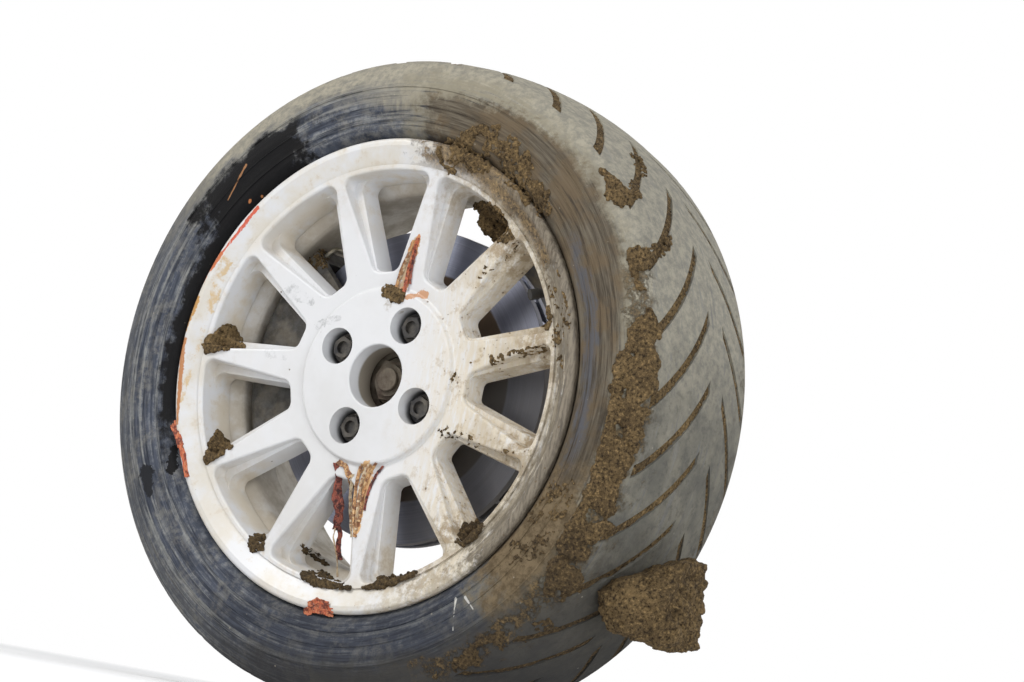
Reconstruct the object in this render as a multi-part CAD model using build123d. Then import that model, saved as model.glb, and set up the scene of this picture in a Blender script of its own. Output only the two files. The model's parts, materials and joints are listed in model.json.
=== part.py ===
from build123d import *
import math
import os

# Front wheel corner of a rally car, left side, in millimetres: tyre, rim, hub, brake and knuckle.
# The wheel turns about Y. Its face looks towards -Y, +X is rearwards and +Z is up.
# Pieces are drawn about the wheel's centre, with y = 0 on the rim's outer lip.
# Each is moved as it is written, so that the middle of the strut clamp's bore is the origin.
# An angle is measured in the wheel's plane, from +X towards +Z.

# Rim
seat_r = 202.8
flange_height = 17.4
flange_thick = 11.0
rim_width = 165.0
seat_width = 22.0
seat_slope = 1.8
wall = 5.6
drop_depth = 19.0
drop_start = 45.0
drop_width = 34.0
wheel_offset = 36.5

# Wheel disc and spokes
spokes = 11
spoke_phase = 146.44
pad_r = 81.0
pad_y = 13.0
spoke_root_y = 17.5
spoke_tip_y = 5.0
spoke_back_y = 42.0
spoke_root_width = 27.0
spoke_tip_width = 7.5
window_inner_r = 97.0
lip_web = 5.2
window_root_corner = 12.5
window_tip_corner = 9.0
window_draft = 8.0
shelf_y = 20.0
base_root_width = 30.0
base_tip_width = 25.0
base_root_corner = 11.0
base_tip_corner = 13.0
spoke_front_edge = 2.2
spoke_back_edge = 1.5
cap_bore_r = 29.0
back_pad_r = 75.0

# Wheel studs and nuts
stud_count = 4
stud_phase = 154.22
stud_circle = 108.0
stud_r = 6.0
stud_start_y = 25.0
nut_well_r = 17.0
nut_well_y = 40.0
nut_flats = 19.0
nut_front_y = 21.5
seat_cone_r = 10.9
seat_cone_depth = 6.5
stud_hole_r = 7.2

# Tyre
tyre_r = 305.0
tyre_width = 202.0
tread_width = 168.0
tread_drop = 9.0
tread_flat = 28.0
tread_thick = 15.5
side_wall = 10.5
bead_play = 0.3

# Hub
spigot_r = 32.5
spigot_start_y = 50.0
hub_flange_r = 66.0
hub_flange_thick = 11.0
journal_r = 21.0
shoulder_r = 27.0
shaft_r = 13.0
nut_recess_r = 25.0
nut_recess_depth = 4.0

# Brake disc
disc_y = 69.0
disc_thick = 24.0
cheek_thick = 7.5
cheek_width = 55.5
hat_thick = 7.0
hat_wall = 6.5
vanes = 36
vane_thick = 4.0
disc_gap = 0.3

# Bearing and knuckle
bearing_r = 38.0
bearing_y = 84.0
bearing_width = 36.0
housing_wall = 10.5
housing_y = 86.0
plate_y = 116.0
plate_thick = 14.0
bearing_stop_r = 33.0

# Strut clamp, ball joint and steering arm of the knuckle
strut_r = 26.0
strut_length = 64.0
strut_tilt = 8.0
strut_y = 222.0
strut_z = 112.0
clamp_wall = 8.0
clamp_slot = 5.0
clamp_half = 15.0
pin_r = 9.0
pin_length = 34.0
pin_x = -4.0
pin_y = 130.0
pin_z = -112.0
pin_wall = 7.0
track_rod_r = 6.0
track_rod_x = 118.0
track_rod_y = 128.0
track_rod_z = 6.0
track_rod_length = 24.0
track_rod_wall = 7.5

# Brake caliper and pads
caliper_angle = 170.0
caliper_arc = 68.0
caliper_gap = 6.2
bridge_thick = 19.0
disc_edge_gap = 5.5
body_thick = 9.0
back_thick = 26.0
window_arc = 30.0
lug_angle = 29.0
lug_inset = 6.0
lug_thick = 11.0
lug_boss_r = 13.5
pad_room = 12.0
pad_over = 1.5
pad_width = 43.0
pad_arc = 50.0
pad_lip = 2.0
plate_pad = 5.0
piston_r = 19.0
piston_angle = 14.0
piston_long_out = 6.0
piston_long_in = 14.0
pad_pin_r = 3.0
pad_pin_in = 5.0
pad_pin_angle = 9.0
pipe_r = 2.4
pipe_in = 10.0
pipe_reach = 11.0
pipe_inset = 14.0
inlet_r = 4.5
inlet_depth = 12.0
inlet_angle = 150.0
inlet_in = 3.0

# Outer joint of the drive shaft
shaft_end_y = 31.0
thread_r = 11.0
bell_r = 44.0
bell_start_y = 136.0
bell_end_y = 206.0
bell_cavity_r = 32.0
bell_floor_y = 150.0
cv_balls = 6
ball_r = 8.0
ball_track_r = 27.0
cv_y = 182.0
race_r = 23.5
race_width = 24.0
cage_width = 26.0
spline_r = 12.0

# Valve, square to the slope of the rim's well
valve_window = 4
valve_r = 4.2
valve_long = 27.0
valve_foot_r = 5.2
valve_room = 2.5

# Bolts
bolt_r = 6.0
bolt_flats = 18.0
bolt_head = 8.0
clamp_bolt_r = 5.0
clamp_bolt_long = 44.0
clamp_bolt_flats = 16.0
clamp_bolt_head = 8.0
pin_bolt_r = 4.0
pin_bolt_long = 38.0
pin_bolt_flats = 13.0
pin_bolt_head = 6.0
bridge_bolt_r = 4.0
bridge_bolt_head_r = 6.5
bridge_bolt_head = 7.0
bolt_play = 0.05
running_play = 0.05

# Places worked out from the sizes
flange_r = seat_r + flange_height
drop_r = seat_r - drop_depth
section = tyre_r - seat_r
window_outer_r = seat_r - wall - lip_web
rim_end_y = rim_width + 2 * flange_thick
mid_y = rim_end_y / 2
mount_y = mid_y - wheel_offset
hub_flange_y = mount_y + hat_thick
hub_back_y = hub_flange_y + hub_flange_thick
housing_r = bearing_r + housing_wall
bearing_end_y = bearing_y + bearing_width
plate_end_y = plate_y + plate_thick
disc_back_y = disc_y + disc_thick
disc_mid_y = disc_y + disc_thick / 2
caliper_outer_r = drop_r - wall - caliper_gap
bridge_inner_r = caliper_outer_r - bridge_thick
disc_r = bridge_inner_r - disc_edge_gap
cheek_inner_r = disc_r - cheek_width
pad_outer_r = disc_r + pad_over
pad_inner_r = pad_outer_r - pad_width
caliper_inner_r = pad_inner_r - pad_lip
lug_r = caliper_inner_r - lug_inset
caliper_in_y = disc_y - pad_room
caliper_face_y = caliper_in_y - body_thick
caliper_out_y = disc_back_y + pad_room
caliper_back_y = caliper_out_y + back_thick
piston_mid_r = (pad_inner_r + pad_outer_r) / 2
pad_pin_mid_r = bridge_inner_r + pad_pin_in
bridge_bolt_mid_r = (bridge_inner_r + caliper_outer_r) / 2
pipe_mid_r = bridge_inner_r + pipe_in
inlet_mid_r = bridge_inner_r - inlet_in
valve_angle = spoke_phase - (valve_window - 0.5) * 360.0 / spokes
strut_axis = Vector(0, math.sin(math.radians(strut_tilt)), math.cos(math.radians(strut_tilt)))
home = Location((0, -strut_y, -strut_z))


def turn(shape, angle):
    """Turn a shape in the wheel's plane by an angle from +X towards +Z"""
    return Rot(0, -angle, 0) * shape


def outline(rows):
    """Closed face in the radius and y plane, from rows of radius, y and corner radius"""
    face = make_face(Polyline(*[(r, y) for r, y, corner in rows], close=True))
    for r, y, corner in rows:
        if corner > 0:
            face = fillet(face.vertices().sort_by_distance((r, y, 0))[0], corner)
    return face


def turned(rows):
    """Outline turned fully about the wheel's axis"""
    return revolve(outline(rows), Axis.Y)


def sector(rows, start, arc):
    """Outline turned about the wheel's axis from one angle over an arc"""
    return turn(revolve(outline(rows), Axis.Y, revolution_arc=arc), start + arc)


def along_y(radius, y0, y1, mid_r=0.0, angle=0.0):
    """Round bar along Y from y0 to y1, centred at a radius and angle of the wheel's plane"""
    bar = Cylinder(radius, y1 - y0, rotation=(90, 0, 0))
    return turn(Pos(mid_r, (y0 + y1) / 2, 0) * bar, angle)


def hex_along_y(flats, y0, y1, mid_r=0.0, angle=0.0):
    """Hexagon bar along Y from y0 to y1"""
    bar = extrude(RegularPolygon(flats / 2, 6, major_radius=False), y1 - y0)
    return turn(Pos(mid_r, y0, 0) * Rot(-90, 0, 0) * bar, angle)


def face_plane(y):
    """Plane across the wheel's axis at y, its normal towards +Y"""
    return Plane(origin=(0, y, 0), x_dir=(1, 0, 0), z_dir=(0, 1, 0))


def equal_angles(count, phase):
    return [phase - i * 360.0 / count for i in range(count)]


stud_angles = equal_angles(stud_count, stud_phase)
spoke_angles = equal_angles(spokes, spoke_phase)


def make_tyre():
    half = tyre_width / 2
    tread = tread_width / 2
    bead = rim_width / 2 - bead_play
    base = seat_r + bead_play
    toe = rim_width / 2 - seat_width + 1.5
    # Radius, half width and corner radius, from the crown to the bead's toe
    outside = [
        (tyre_r, tread_flat, 300),
        (tyre_r - tread_drop, tread, 20),
        (tyre_r - 0.39 * section, half, 0.41 * section),
        (flange_r + 0.08 * section, half - 6, 0.09 * section),
        (flange_r - 0.7, bead + 1.4, 1.5),
        (flange_r - 7, bead, 0),
        (base, bead, 7.5),
        (base - seat_slope, toe, 2),
    ]
    # The same from the toe up to the crown, inside
    inside = [
        (base + 12, toe + 4, 6),
        (tyre_r - tread_thick - 4 - 0.23 * section, half - side_wall, 0.2 * section),
        (tyre_r - tread_thick - 4, tread - 6, 0.12 * section),
        (tyre_r - tread_thick, tread_flat, 0),
    ]
    near = outside + inside
    rows = near + [(r, -w, corner) for r, w, corner in reversed(near)]
    return turned([(r, mid_y + w, corner) for r, w, corner in rows])


def make_barrel():
    in_y = flange_thick
    out_y = rim_end_y - flange_thick
    drop_end = drop_start + 12 + drop_width
    # Radius, y and corner radius, over the tyre's side and back through the inside
    rows = [
        (flange_r - 7, 0, 1.5),
        (flange_r, 0, 4),
        (flange_r, in_y - 2, 2),
        (flange_r - 6, in_y, 1),
        (seat_r, in_y, 6),
        (seat_r - seat_slope, in_y + seat_width, 2),
        (seat_r - 0.4, in_y + seat_width + 4, 2),
        (seat_r - 4, drop_start, 4),
        (drop_r, drop_start + 12, 6),
        (drop_r, drop_end, 6),
        (seat_r - 5, drop_end + 20, 8),
        (seat_r - 4, out_y - seat_width - 7, 2),
        (seat_r - 0.4, out_y - seat_width - 4, 2),
        (seat_r - seat_slope, out_y - seat_width, 2),
        (seat_r, out_y, 6),
        (flange_r - 6, out_y, 1),
        (flange_r, out_y + 2, 2),
        (flange_r, rim_end_y, 4),
        (flange_r - 7, rim_end_y, 1.5),
        (seat_r - wall - 1, rim_end_y - 12, 6),
        (seat_r - wall - 4, out_y - seat_width - 8, 4),
        (seat_r - wall - 5, drop_end + 22, 6),
        (drop_r - wall, drop_end + 3, 6),
        (drop_r - wall, drop_start + 9, 6),
        (seat_r - wall - 3, drop_start - 4, 4),
        (seat_r - wall - 3, 8, 3),
    ]
    return turned(rows)


def valve_place():
    """Place of the valve's hole: its Z runs through the well's slope, inwards and to the face"""
    rise, run = drop_depth - 4, 12
    out = math.degrees(math.atan2(rise, run))
    slope = Pos(seat_r - 4 - rise / 2, drop_start + run / 2, 0) * Rot(0, 0, 180 + out)
    return Rot(0, -valve_angle, 0) * slope * Rot(0, 90, 0)


def make_window(root_width, tip_width, root_corner, tip_corner, end_y):
    """Cutter for one window between two spokes, largest at the wheel's face"""
    half_pitch = math.pi / spokes
    start_y = spoke_tip_y - 2
    turn_in = half_pitch - root_width / 2 / window_inner_r
    turn_out = half_pitch - tip_width / 2 / window_outer_r
    in_x = window_inner_r * math.cos(turn_in)
    in_z = window_inner_r * math.sin(turn_in)
    out_x = window_outer_r * math.cos(turn_out)
    out_z = window_outer_r * math.sin(turn_out)
    edges = [
        Line((in_x, in_z), (in_x, -in_z)),
        Line((in_x, -in_z), (out_x, -out_z)),
        ThreePointArc((out_x, -out_z), (window_outer_r, 0), (out_x, out_z)),
        Line((out_x, out_z), (in_x, in_z)),
    ]
    face = make_face(edges)
    face = fillet(face.vertices().sort_by(Axis.X)[:2], root_corner)
    face = fillet(face.vertices().sort_by(Axis.X)[-2:], tip_corner)
    return extrude(face_plane(start_y) * face, end_y - start_y, taper=window_draft)


def soften_windows(disc):
    """Round the edges of the windows, on the face and on the back"""
    def edges_near(test):
        found = []
        for edge in disc.edges():
            middle = edge.center()
            r = math.hypot(middle.X, middle.Z)
            if window_inner_r - 8 < r < window_outer_r + 4 and test(middle.Y):
                found.append(edge)
        return found

    disc = fillet(edges_near(lambda y: y < spoke_root_y + 1), spoke_front_edge)
    return fillet(edges_near(lambda y: y > spoke_back_y - 0.5), spoke_back_edge)


def make_rim():
    lap_r = seat_r - wall - 1
    disc = turned([
        (cap_bore_r, pad_y, 1.5),
        (pad_r, pad_y, 2.5),
        (pad_r + 2.5, spoke_root_y, 2),
        (lap_r, spoke_tip_y, 0),
        (lap_r, spoke_back_y, 0),
        (back_pad_r + 3, spoke_back_y, 4),
        (back_pad_r, mount_y, 1.5),
        (spigot_r + 0.1, mount_y, 0.8),
        (spigot_r + 0.1, spigot_start_y - 3, 0),
        (cap_bore_r, spigot_start_y - 3, 0),
    ])
    # The ridge of each spoke stands on a wider base, with a shelf along each side
    ridge_gap = make_window(
        spoke_root_width, spoke_tip_width, window_root_corner, window_tip_corner, shelf_y)
    base_gap = make_window(
        base_root_width, base_tip_width, base_root_corner, base_tip_corner, spoke_back_y + 1)
    for angle in spoke_angles:
        disc -= turn(ridge_gap + base_gap, angle + 180.0 / spokes)
    disc = soften_windows(disc)
    cone = [
        (0, nut_well_y - 0.01, 0),
        (seat_cone_r, nut_well_y - 0.01, 0),
        (stud_hole_r, nut_well_y + seat_cone_depth, 0),
        (0, nut_well_y + seat_cone_depth, 0),
    ]
    for angle in stud_angles:
        disc -= along_y(nut_well_r, pad_y - 5, nut_well_y, stud_circle / 2, angle)
        disc -= along_y(stud_hole_r, nut_well_y - 1, mount_y + 1, stud_circle / 2, angle)
        disc -= turn(Pos(stud_circle / 2, 0, 0) * turned(cone), angle)
    rim = disc + make_barrel()
    rim -= valve_place() * Cylinder(valve_r + bolt_play, 40)
    # Room for the valve's cap, where a narrower window would meet it
    room = Cylinder(valve_r + valve_room, valve_long + 6)
    return rim - valve_place() * Pos(0, 0, wall + 5 + valve_long / 2 + 3) * room


def make_wheel_nuts():
    seat_y = nut_well_y - 0.1
    rows = [
        (stud_r + bolt_play, nut_front_y, 0),
        (nut_flats / 2, nut_front_y, 0),
        (nut_flats / 2, seat_y, 0),
        (seat_cone_r, seat_y, 0),
        (stud_hole_r, seat_y + seat_cone_depth, 0),
        (stud_r + bolt_play, seat_y + seat_cone_depth, 0),
    ]
    body = turned(rows) + hex_along_y(nut_flats, nut_front_y + 0.5, seat_y)
    body -= along_y(stud_r + bolt_play, nut_front_y - 1, mount_y)
    return [turn(Pos(stud_circle / 2, 0, 0) * body, angle) for angle in stud_angles]


def make_wheel_studs():
    studs = []
    for angle in stud_angles:
        shank = along_y(stud_r, stud_start_y, hub_back_y + 0.5, stud_circle / 2, angle)
        head = along_y(stud_r + 3, hub_back_y, hub_back_y + 4.5, stud_circle / 2, angle)
        studs.append(shank + head)
    return studs


def make_hub():
    hub = turned([
        (nut_recess_r, spigot_start_y, 0),
        (spigot_r, spigot_start_y, 1),
        (spigot_r, hub_flange_y, 0),
        (hub_flange_r, hub_flange_y, 1),
        (hub_flange_r, hub_back_y, 2),
        (shoulder_r, hub_back_y, 2),
        (shoulder_r, bearing_y - 0.3, 0),
        (journal_r, bearing_y - 0.3, 0),
        (journal_r, bearing_end_y + 3, 0),
        (shaft_r + bolt_play, bearing_end_y + 3, 0),
        (shaft_r + bolt_play, spigot_start_y + nut_recess_depth, 0),
        (nut_recess_r, spigot_start_y + nut_recess_depth, 0),
    ])
    for angle in stud_angles:
        hub -= along_y(stud_r + bolt_play, mount_y, hub_back_y + 1, stud_circle / 2, angle)
    return hub


def make_brake_disc():
    hat_r = hub_flange_r + 1.5
    hat_outer_r = hat_r + hat_wall
    disc = turned([
        (spigot_r + 0.1, mount_y, 0),
        (hat_outer_r, mount_y, 3),
        (hat_outer_r, disc_y, 2),
        (disc_r, disc_y, 0.8),
        (disc_r, disc_y + cheek_thick, 0),
        (hat_outer_r, disc_y + cheek_thick, 2),
        (hat_outer_r, disc_mid_y, 0),
        (hat_r, disc_mid_y, 0),
        (hat_r, hub_flange_y, 0),
        (spigot_r + 0.1, hub_flange_y, 0),
    ])
    disc += turned([
        (cheek_inner_r, disc_back_y - cheek_thick, 0),
        (disc_r, disc_back_y - cheek_thick, 0),
        (disc_r, disc_back_y, 0.8),
        (cheek_inner_r, disc_back_y, 0.8),
    ])
    vane_long = disc_r - cheek_inner_r - 3
    vane_high = disc_thick - 2 * cheek_thick + 1
    vane = Pos((disc_r + cheek_inner_r) / 2, disc_mid_y, 0) * Box(vane_long, vane_high, vane_thick)
    disc += [turn(vane, angle) for angle in equal_angles(vanes, 0)]
    for angle in stud_angles:
        disc -= along_y(stud_r + 0.4, mount_y - 1, hub_flange_y + 1, stud_circle / 2, angle)
    return disc


def make_axle_washer():
    y0 = spigot_start_y + nut_recess_depth - 3
    return along_y(nut_recess_r - 1, y0, y0 + 3) - along_y(thread_r + bolt_play, y0 - 1, y0 + 4)


def make_axle_nut():
    y1 = spigot_start_y + nut_recess_depth - 3
    y0 = shaft_end_y + 4
    nut = hex_along_y(36, y0 + 4, y1) + along_y(15, y0, y0 + 5)
    return nut - along_y(thread_r + bolt_play, y0 - 1, y1 + 1)


def make_cv_bell():
    stub = turned([
        (0, shaft_end_y, 0),
        (thread_r, shaft_end_y, 1),
        (thread_r, spigot_start_y + nut_recess_depth, 0),
        (shaft_r, spigot_start_y + nut_recess_depth, 0),
        (shaft_r, bearing_end_y + 3, 0),
        (journal_r + 4, bearing_end_y + 3, 1),
        (journal_r + 4, bell_start_y, 3),
        (bell_r - 8, bell_start_y, 4),
        (bell_r, bell_start_y + 14, 6),
        (bell_r, bell_end_y - 8, 1),
        (bell_r + 2, bell_end_y - 6, 1),
        (bell_r + 2, bell_end_y, 1.5),
        (bell_cavity_r, bell_end_y, 1.5),
        (bell_cavity_r, bell_floor_y + 10, 8),
        (0, bell_floor_y, 0),
    ])
    for angle in equal_angles(cv_balls, 90):
        track = along_y(ball_r + 0.2, bell_floor_y + 14, bell_end_y + 1, ball_track_r, angle)
        stub -= track
    return stub


def make_cv_inner_race():
    half = race_width / 2
    race = turned([
        (spline_r, cv_y - half, 1),
        (race_r - 3, cv_y - half, 3),
        (race_r, cv_y, 12),
        (race_r - 3, cv_y + half, 3),
        (spline_r, cv_y + half, 1),
    ])
    for angle in equal_angles(cv_balls, 90):
        race -= along_y(ball_r + 0.2, cv_y - half - 1, cv_y + half + 1, ball_track_r, angle)
    return race


def make_cv_cage():
    half = cage_width / 2
    inner = race_r + 0.6
    cage = turned([
        (inner, cv_y - half, 0),
        (bell_cavity_r - 4, cv_y - half, 1),
        (bell_cavity_r - 0.4, cv_y, 20),
        (bell_cavity_r - 4, cv_y + half, 1),
        (inner, cv_y + half, 0),
    ])
    window = Pos(ball_track_r + 2, cv_y, 0) * Box(24, 2 * ball_r + 0.5, 2 * ball_r + 0.5)
    for angle in equal_angles(cv_balls, 90):
        cage -= turn(window, angle)
    return cage


def make_cv_balls():
    ball = Pos(ball_track_r, cv_y, 0) * Sphere(ball_r)
    return [turn(ball, angle) for angle in equal_angles(cv_balls, 90)]


def make_valve_stem():
    """Rubber foot on the tyre's side, and the stem through the rim"""
    foot = Pos(0, 0, -2.2) * Cylinder(valve_foot_r, 4)
    stem = Pos(0, 0, valve_long / 2 - 1) * Cylinder(valve_r, valve_long + 2)
    collar = Pos(0, 0, wall + 2.8) * Cylinder(valve_foot_r - 1.5, 3)
    return valve_place() * (foot + stem + collar)


def make_valve_cap():
    cap = Pos(0, 0, valve_long + 4.1) * Cylinder(valve_r + 0.9, 8)
    return valve_place() * cap


def make_bearing():
    return turned([
        (journal_r + running_play, bearing_y, 1),
        (bearing_r, bearing_y, 1),
        (bearing_r, bearing_end_y - 0.1, 1),
        (journal_r + running_play, bearing_end_y - 0.1, 1),
    ])


def make_knuckle():
    """Forging: bearing housing, rear plate with the caliper's ears, and the three arms"""
    housing = along_y(housing_r, housing_y, plate_end_y)
    for side in (-1, 1):
        ear = Pos(lug_r, 0, 0) * Circle(lug_boss_r)
        link = make_hull([Circle(26).edge(), ear.edge()])
        plate = extrude(face_plane(plate_y) * link, plate_thick)
        housing += turn(plate, caliper_angle + side * lug_angle)

    strut = Location((0, strut_y, strut_z), (-strut_tilt, 0, 0))
    clamp_r = strut_r + clamp_wall
    across = (1, 0, 0)
    neck_root = Plane(origin=(0, (housing_y + plate_end_y) / 2, housing_r - 8), x_dir=across, z_dir=(0, 0, 1))
    neck_mid = Plane(origin=(0, plate_end_y + 10, strut_z - 27), x_dir=across, z_dir=(0, 0.8, 0.6))
    neck_end = Plane(origin=(0, strut_y - clamp_r + 6, strut_z - 7), x_dir=across, z_dir=(0, 1, 0.1))
    neck = loft([
        neck_root * RectangleRounded(58, plate_end_y - housing_y - 2, 8),
        neck_mid * RectangleRounded(44, 32, 8),
        neck_end * RectangleRounded(46, strut_length - 18, 8),
    ])

    foot_root = Plane(origin=(0, plate_y - 2, -housing_r + 14), x_dir=across, z_dir=(0, 0, -1))
    foot_end = Plane(origin=(pin_x, pin_y, pin_z + pin_length / 4), x_dir=across, z_dir=(0, 0, -1))
    foot = loft([
        foot_root * RectangleRounded(60, 30, 8),
        foot_end * RectangleRounded(30, 26, 8),
    ])

    arm_root = Plane(origin=(housing_r - 14, plate_y, 0), x_dir=(0, 1, 0), z_dir=(1, 0, 0))
    arm_end = Plane(origin=(track_rod_x - 5, track_rod_y, track_rod_z), x_dir=(0, 1, 0), z_dir=(1, 0, 0))
    arm = loft([
        arm_root * RectangleRounded(26, 50, 8),
        arm_end * RectangleRounded(20, track_rod_length - 4, 6),
    ])

    knuckle = housing + neck + foot + arm
    knuckle += strut * Cylinder(clamp_r, strut_length)
    knuckle += strut * Pos(0, clamp_r, 0) * Box(2 * clamp_half, 22, strut_length)
    knuckle += Pos(pin_x, pin_y, pin_z) * Cylinder(pin_r + pin_wall, pin_length)
    knuckle += Pos(pin_x, pin_y + pin_r + pin_wall, pin_z) * Box(2 * clamp_half, 18, pin_length - 10)
    knuckle += Pos(track_rod_x, track_rod_y, track_rod_z) * Cylinder(track_rod_r + track_rod_wall, track_rod_length)

    knuckle -= along_y(bearing_r + bolt_play, housing_y - 1, bearing_end_y)
    knuckle -= along_y(bearing_stop_r, housing_y - 1, plate_end_y + 1)
    knuckle -= strut * Cylinder(strut_r, strut_length + 40)
    knuckle -= strut * Pos(0, clamp_r, 0) * Box(clamp_slot, 4 * clamp_wall, strut_length + 1)
    below = pin_z - pin_length / 2
    knuckle -= Pos(pin_x, pin_y, below) * Cylinder(pin_r, 2 * pin_length)
    knuckle -= Pos(pin_x, pin_y + pin_r + pin_wall, below) * Box(3, 4 * pin_wall, 2 * pin_length)
    knuckle -= Pos(track_rod_x, track_rod_y, track_rod_z) * Cylinder(track_rod_r, 2 * track_rod_length)
    for side in (-1, 1):
        angle = caliper_angle + side * lug_angle
        knuckle -= along_y(bolt_r + bolt_play, plate_y - 1, plate_end_y + 1, lug_r, angle)
    for drop in (-1, 1):
        hole = Cylinder(clamp_bolt_r + bolt_play, 60, rotation=(0, 90, 0))
        knuckle -= strut * Pos(0, clamp_r + 5, drop * strut_length / 4) * hole
    pin_hole = Cylinder(pin_bolt_r + bolt_play, 60, rotation=(0, 90, 0))
    knuckle -= Pos(pin_x, pin_y + pin_r + pin_wall + 3, pin_z) * pin_hole
    return knuckle


def cross_bolt(radius, long, flats, head):
    """Bolt along Z through a clamp, with a hexagon head and a nut 15 mm from its middle"""
    hexagon = extrude(RegularPolygon(flats / 2, 6, major_radius=False), head)
    bolt = Cylinder(radius, long) + Pos(0, 0, clamp_half) * hexagon
    return bolt + Pos(0, 0, -clamp_half - head) * hexagon


def make_strut_clamp_bolts():
    strut = Location((0, strut_y, strut_z), (-strut_tilt, 0, 0))
    clamp_r = strut_r + clamp_wall
    bolts = []
    for drop in (-1, 1):
        place = strut * Pos(0, clamp_r + 5, drop * strut_length / 4) * Rot(0, 90, 0)
        bolts.append(place * cross_bolt(clamp_bolt_r, clamp_bolt_long, clamp_bolt_flats, clamp_bolt_head))
    return bolts


def make_ball_joint_bolt():
    place = Pos(pin_x, pin_y + pin_r + pin_wall + 3, pin_z) * Rot(0, 90, 0)
    return place * cross_bolt(pin_bolt_r, pin_bolt_long, pin_bolt_flats, pin_bolt_head)


def caliper_half(rows):
    """One half of the caliper, with the window for the pads cut through its bridge"""
    start = caliper_angle - caliper_arc / 2
    half = sector(rows, start, caliper_arc)
    gap = [
        (bridge_inner_r - 2, caliper_in_y, 0),
        (caliper_outer_r + 2, caliper_in_y, 0),
        (caliper_outer_r + 2, caliper_out_y + body_thick / 3, 0),
        (bridge_inner_r - 2, caliper_out_y + body_thick / 3, 0),
    ]
    return half - sector(gap, caliper_angle - window_arc / 2, window_arc)


def piston_places():
    return [caliper_angle - piston_angle, caliper_angle + piston_angle]


def pad_pin_places():
    return [caliper_angle - pad_pin_angle, caliper_angle + pad_pin_angle]


def end_places():
    reach = caliper_arc / 2 - 7
    return [caliper_angle - reach, caliper_angle + reach]


def make_caliper_outer():
    half = caliper_half([
        (caliper_inner_r, caliper_face_y, 3),
        (caliper_outer_r - 8, caliper_face_y, 6),
        (caliper_outer_r, caliper_face_y + 9, 4),
        (caliper_outer_r, disc_mid_y - 0.1, 0),
        (bridge_inner_r, disc_mid_y - 0.1, 0),
        (bridge_inner_r, caliper_in_y, 0),
        (caliper_inner_r, caliper_in_y, 0),
    ])
    for angle in piston_places():
        pocket_y = caliper_in_y - piston_long_out
        half -= along_y(piston_r + bolt_play, pocket_y, caliper_in_y + 1, piston_mid_r, angle)
    for angle in pad_pin_places():
        half -= along_y(pad_pin_r + bolt_play, caliper_face_y + 3, disc_mid_y, pad_pin_mid_r, angle)
    for angle in end_places():
        start_y = caliper_face_y + body_thick - 1
        half -= along_y(bridge_bolt_r + bolt_play, start_y, disc_mid_y + 1, bridge_bolt_mid_r, angle)
    return half


def make_caliper_inner():
    half = caliper_half([
        (caliper_inner_r, caliper_out_y, 0),
        (bridge_inner_r, caliper_out_y, 0),
        (bridge_inner_r, disc_mid_y + 0.1, 0),
        (caliper_outer_r, disc_mid_y + 0.1, 0),
        (caliper_outer_r, caliper_back_y - 12, 4),
        (caliper_outer_r - 9, caliper_back_y, 6),
        (caliper_inner_r, caliper_back_y, 3),
    ])
    for side in (-1, 1):
        angle = caliper_angle + side * lug_angle
        lug_y = plate_y - lug_thick
        half += along_y(lug_boss_r, lug_y, plate_y, lug_r, angle)
        web = Pos(lug_r + 8, lug_y + lug_thick / 2, 0) * Box(16, lug_thick, 2 * lug_boss_r)
        half += turn(web, angle)
        half -= along_y(bolt_r + bolt_play, lug_y - 1, plate_y + 1, lug_r, angle)
        relief = along_y(lug_boss_r + 6, plate_y, caliper_back_y + 1, lug_r, angle)
        half -= relief
    for angle in piston_places():
        pocket_y = caliper_out_y + piston_long_in
        half -= along_y(piston_r + bolt_play, caliper_out_y - 1, pocket_y, piston_mid_r, angle)
    for angle in pad_pin_places():
        half -= along_y(pad_pin_r + bolt_play, disc_mid_y, caliper_back_y + 1, pad_pin_mid_r, angle)
    for angle in end_places():
        end_y = caliper_back_y + 1
        half -= along_y(bridge_bolt_r + bolt_play, disc_mid_y - 1, end_y, bridge_bolt_mid_r, angle)
    half -= along_y(inlet_r, caliper_back_y - inlet_depth, caliper_back_y + 1, inlet_mid_r, inlet_angle)
    return half


def make_pad(face_y, into):
    """One pad, its friction face at face_y, its steel plate on the side named by into"""
    friction = pad_room - plate_pad - 0.2 - disc_gap
    y_face = face_y + into * disc_gap
    y_join = y_face + into * friction
    y_end = y_join + into * plate_pad
    start = caliper_angle - pad_arc / 2

    def slab(r0, r1, a, arc, y0, y1):
        low, high = sorted((y0, y1))
        return sector([(r0, low, 0), (r1, low, 0), (r1, high, 0), (r0, high, 0)], a, arc)

    pad = slab(pad_inner_r, pad_outer_r, start, pad_arc, y_join, y_end)
    pad += slab(pad_inner_r + 3, pad_outer_r - 2, start + 2, pad_arc - 4, y_face, y_join)
    for angle in pad_pin_places():
        pad += slab(pad_outer_r - 2, pad_pin_mid_r + 6, angle - 2.5, 5, y_join, y_end)
        low, high = sorted((y_join, y_end))
        pad -= along_y(pad_pin_r + 0.3, low - 1, high + 1, pad_pin_mid_r, angle)
    return pad


def make_pistons():
    pistons = []
    for angle in piston_places():
        out_y = caliper_in_y + 0.1
        in_y = caliper_out_y - 0.1
        pistons.append(along_y(piston_r, out_y - piston_long_out, out_y, piston_mid_r, angle))
        pistons.append(along_y(piston_r, in_y, in_y + piston_long_in, piston_mid_r, angle))
    return pistons


def make_pad_pins():
    return [along_y(pad_pin_r, caliper_face_y + 4, caliper_back_y + 4, pad_pin_mid_r, angle)
            for angle in pad_pin_places()]


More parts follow.
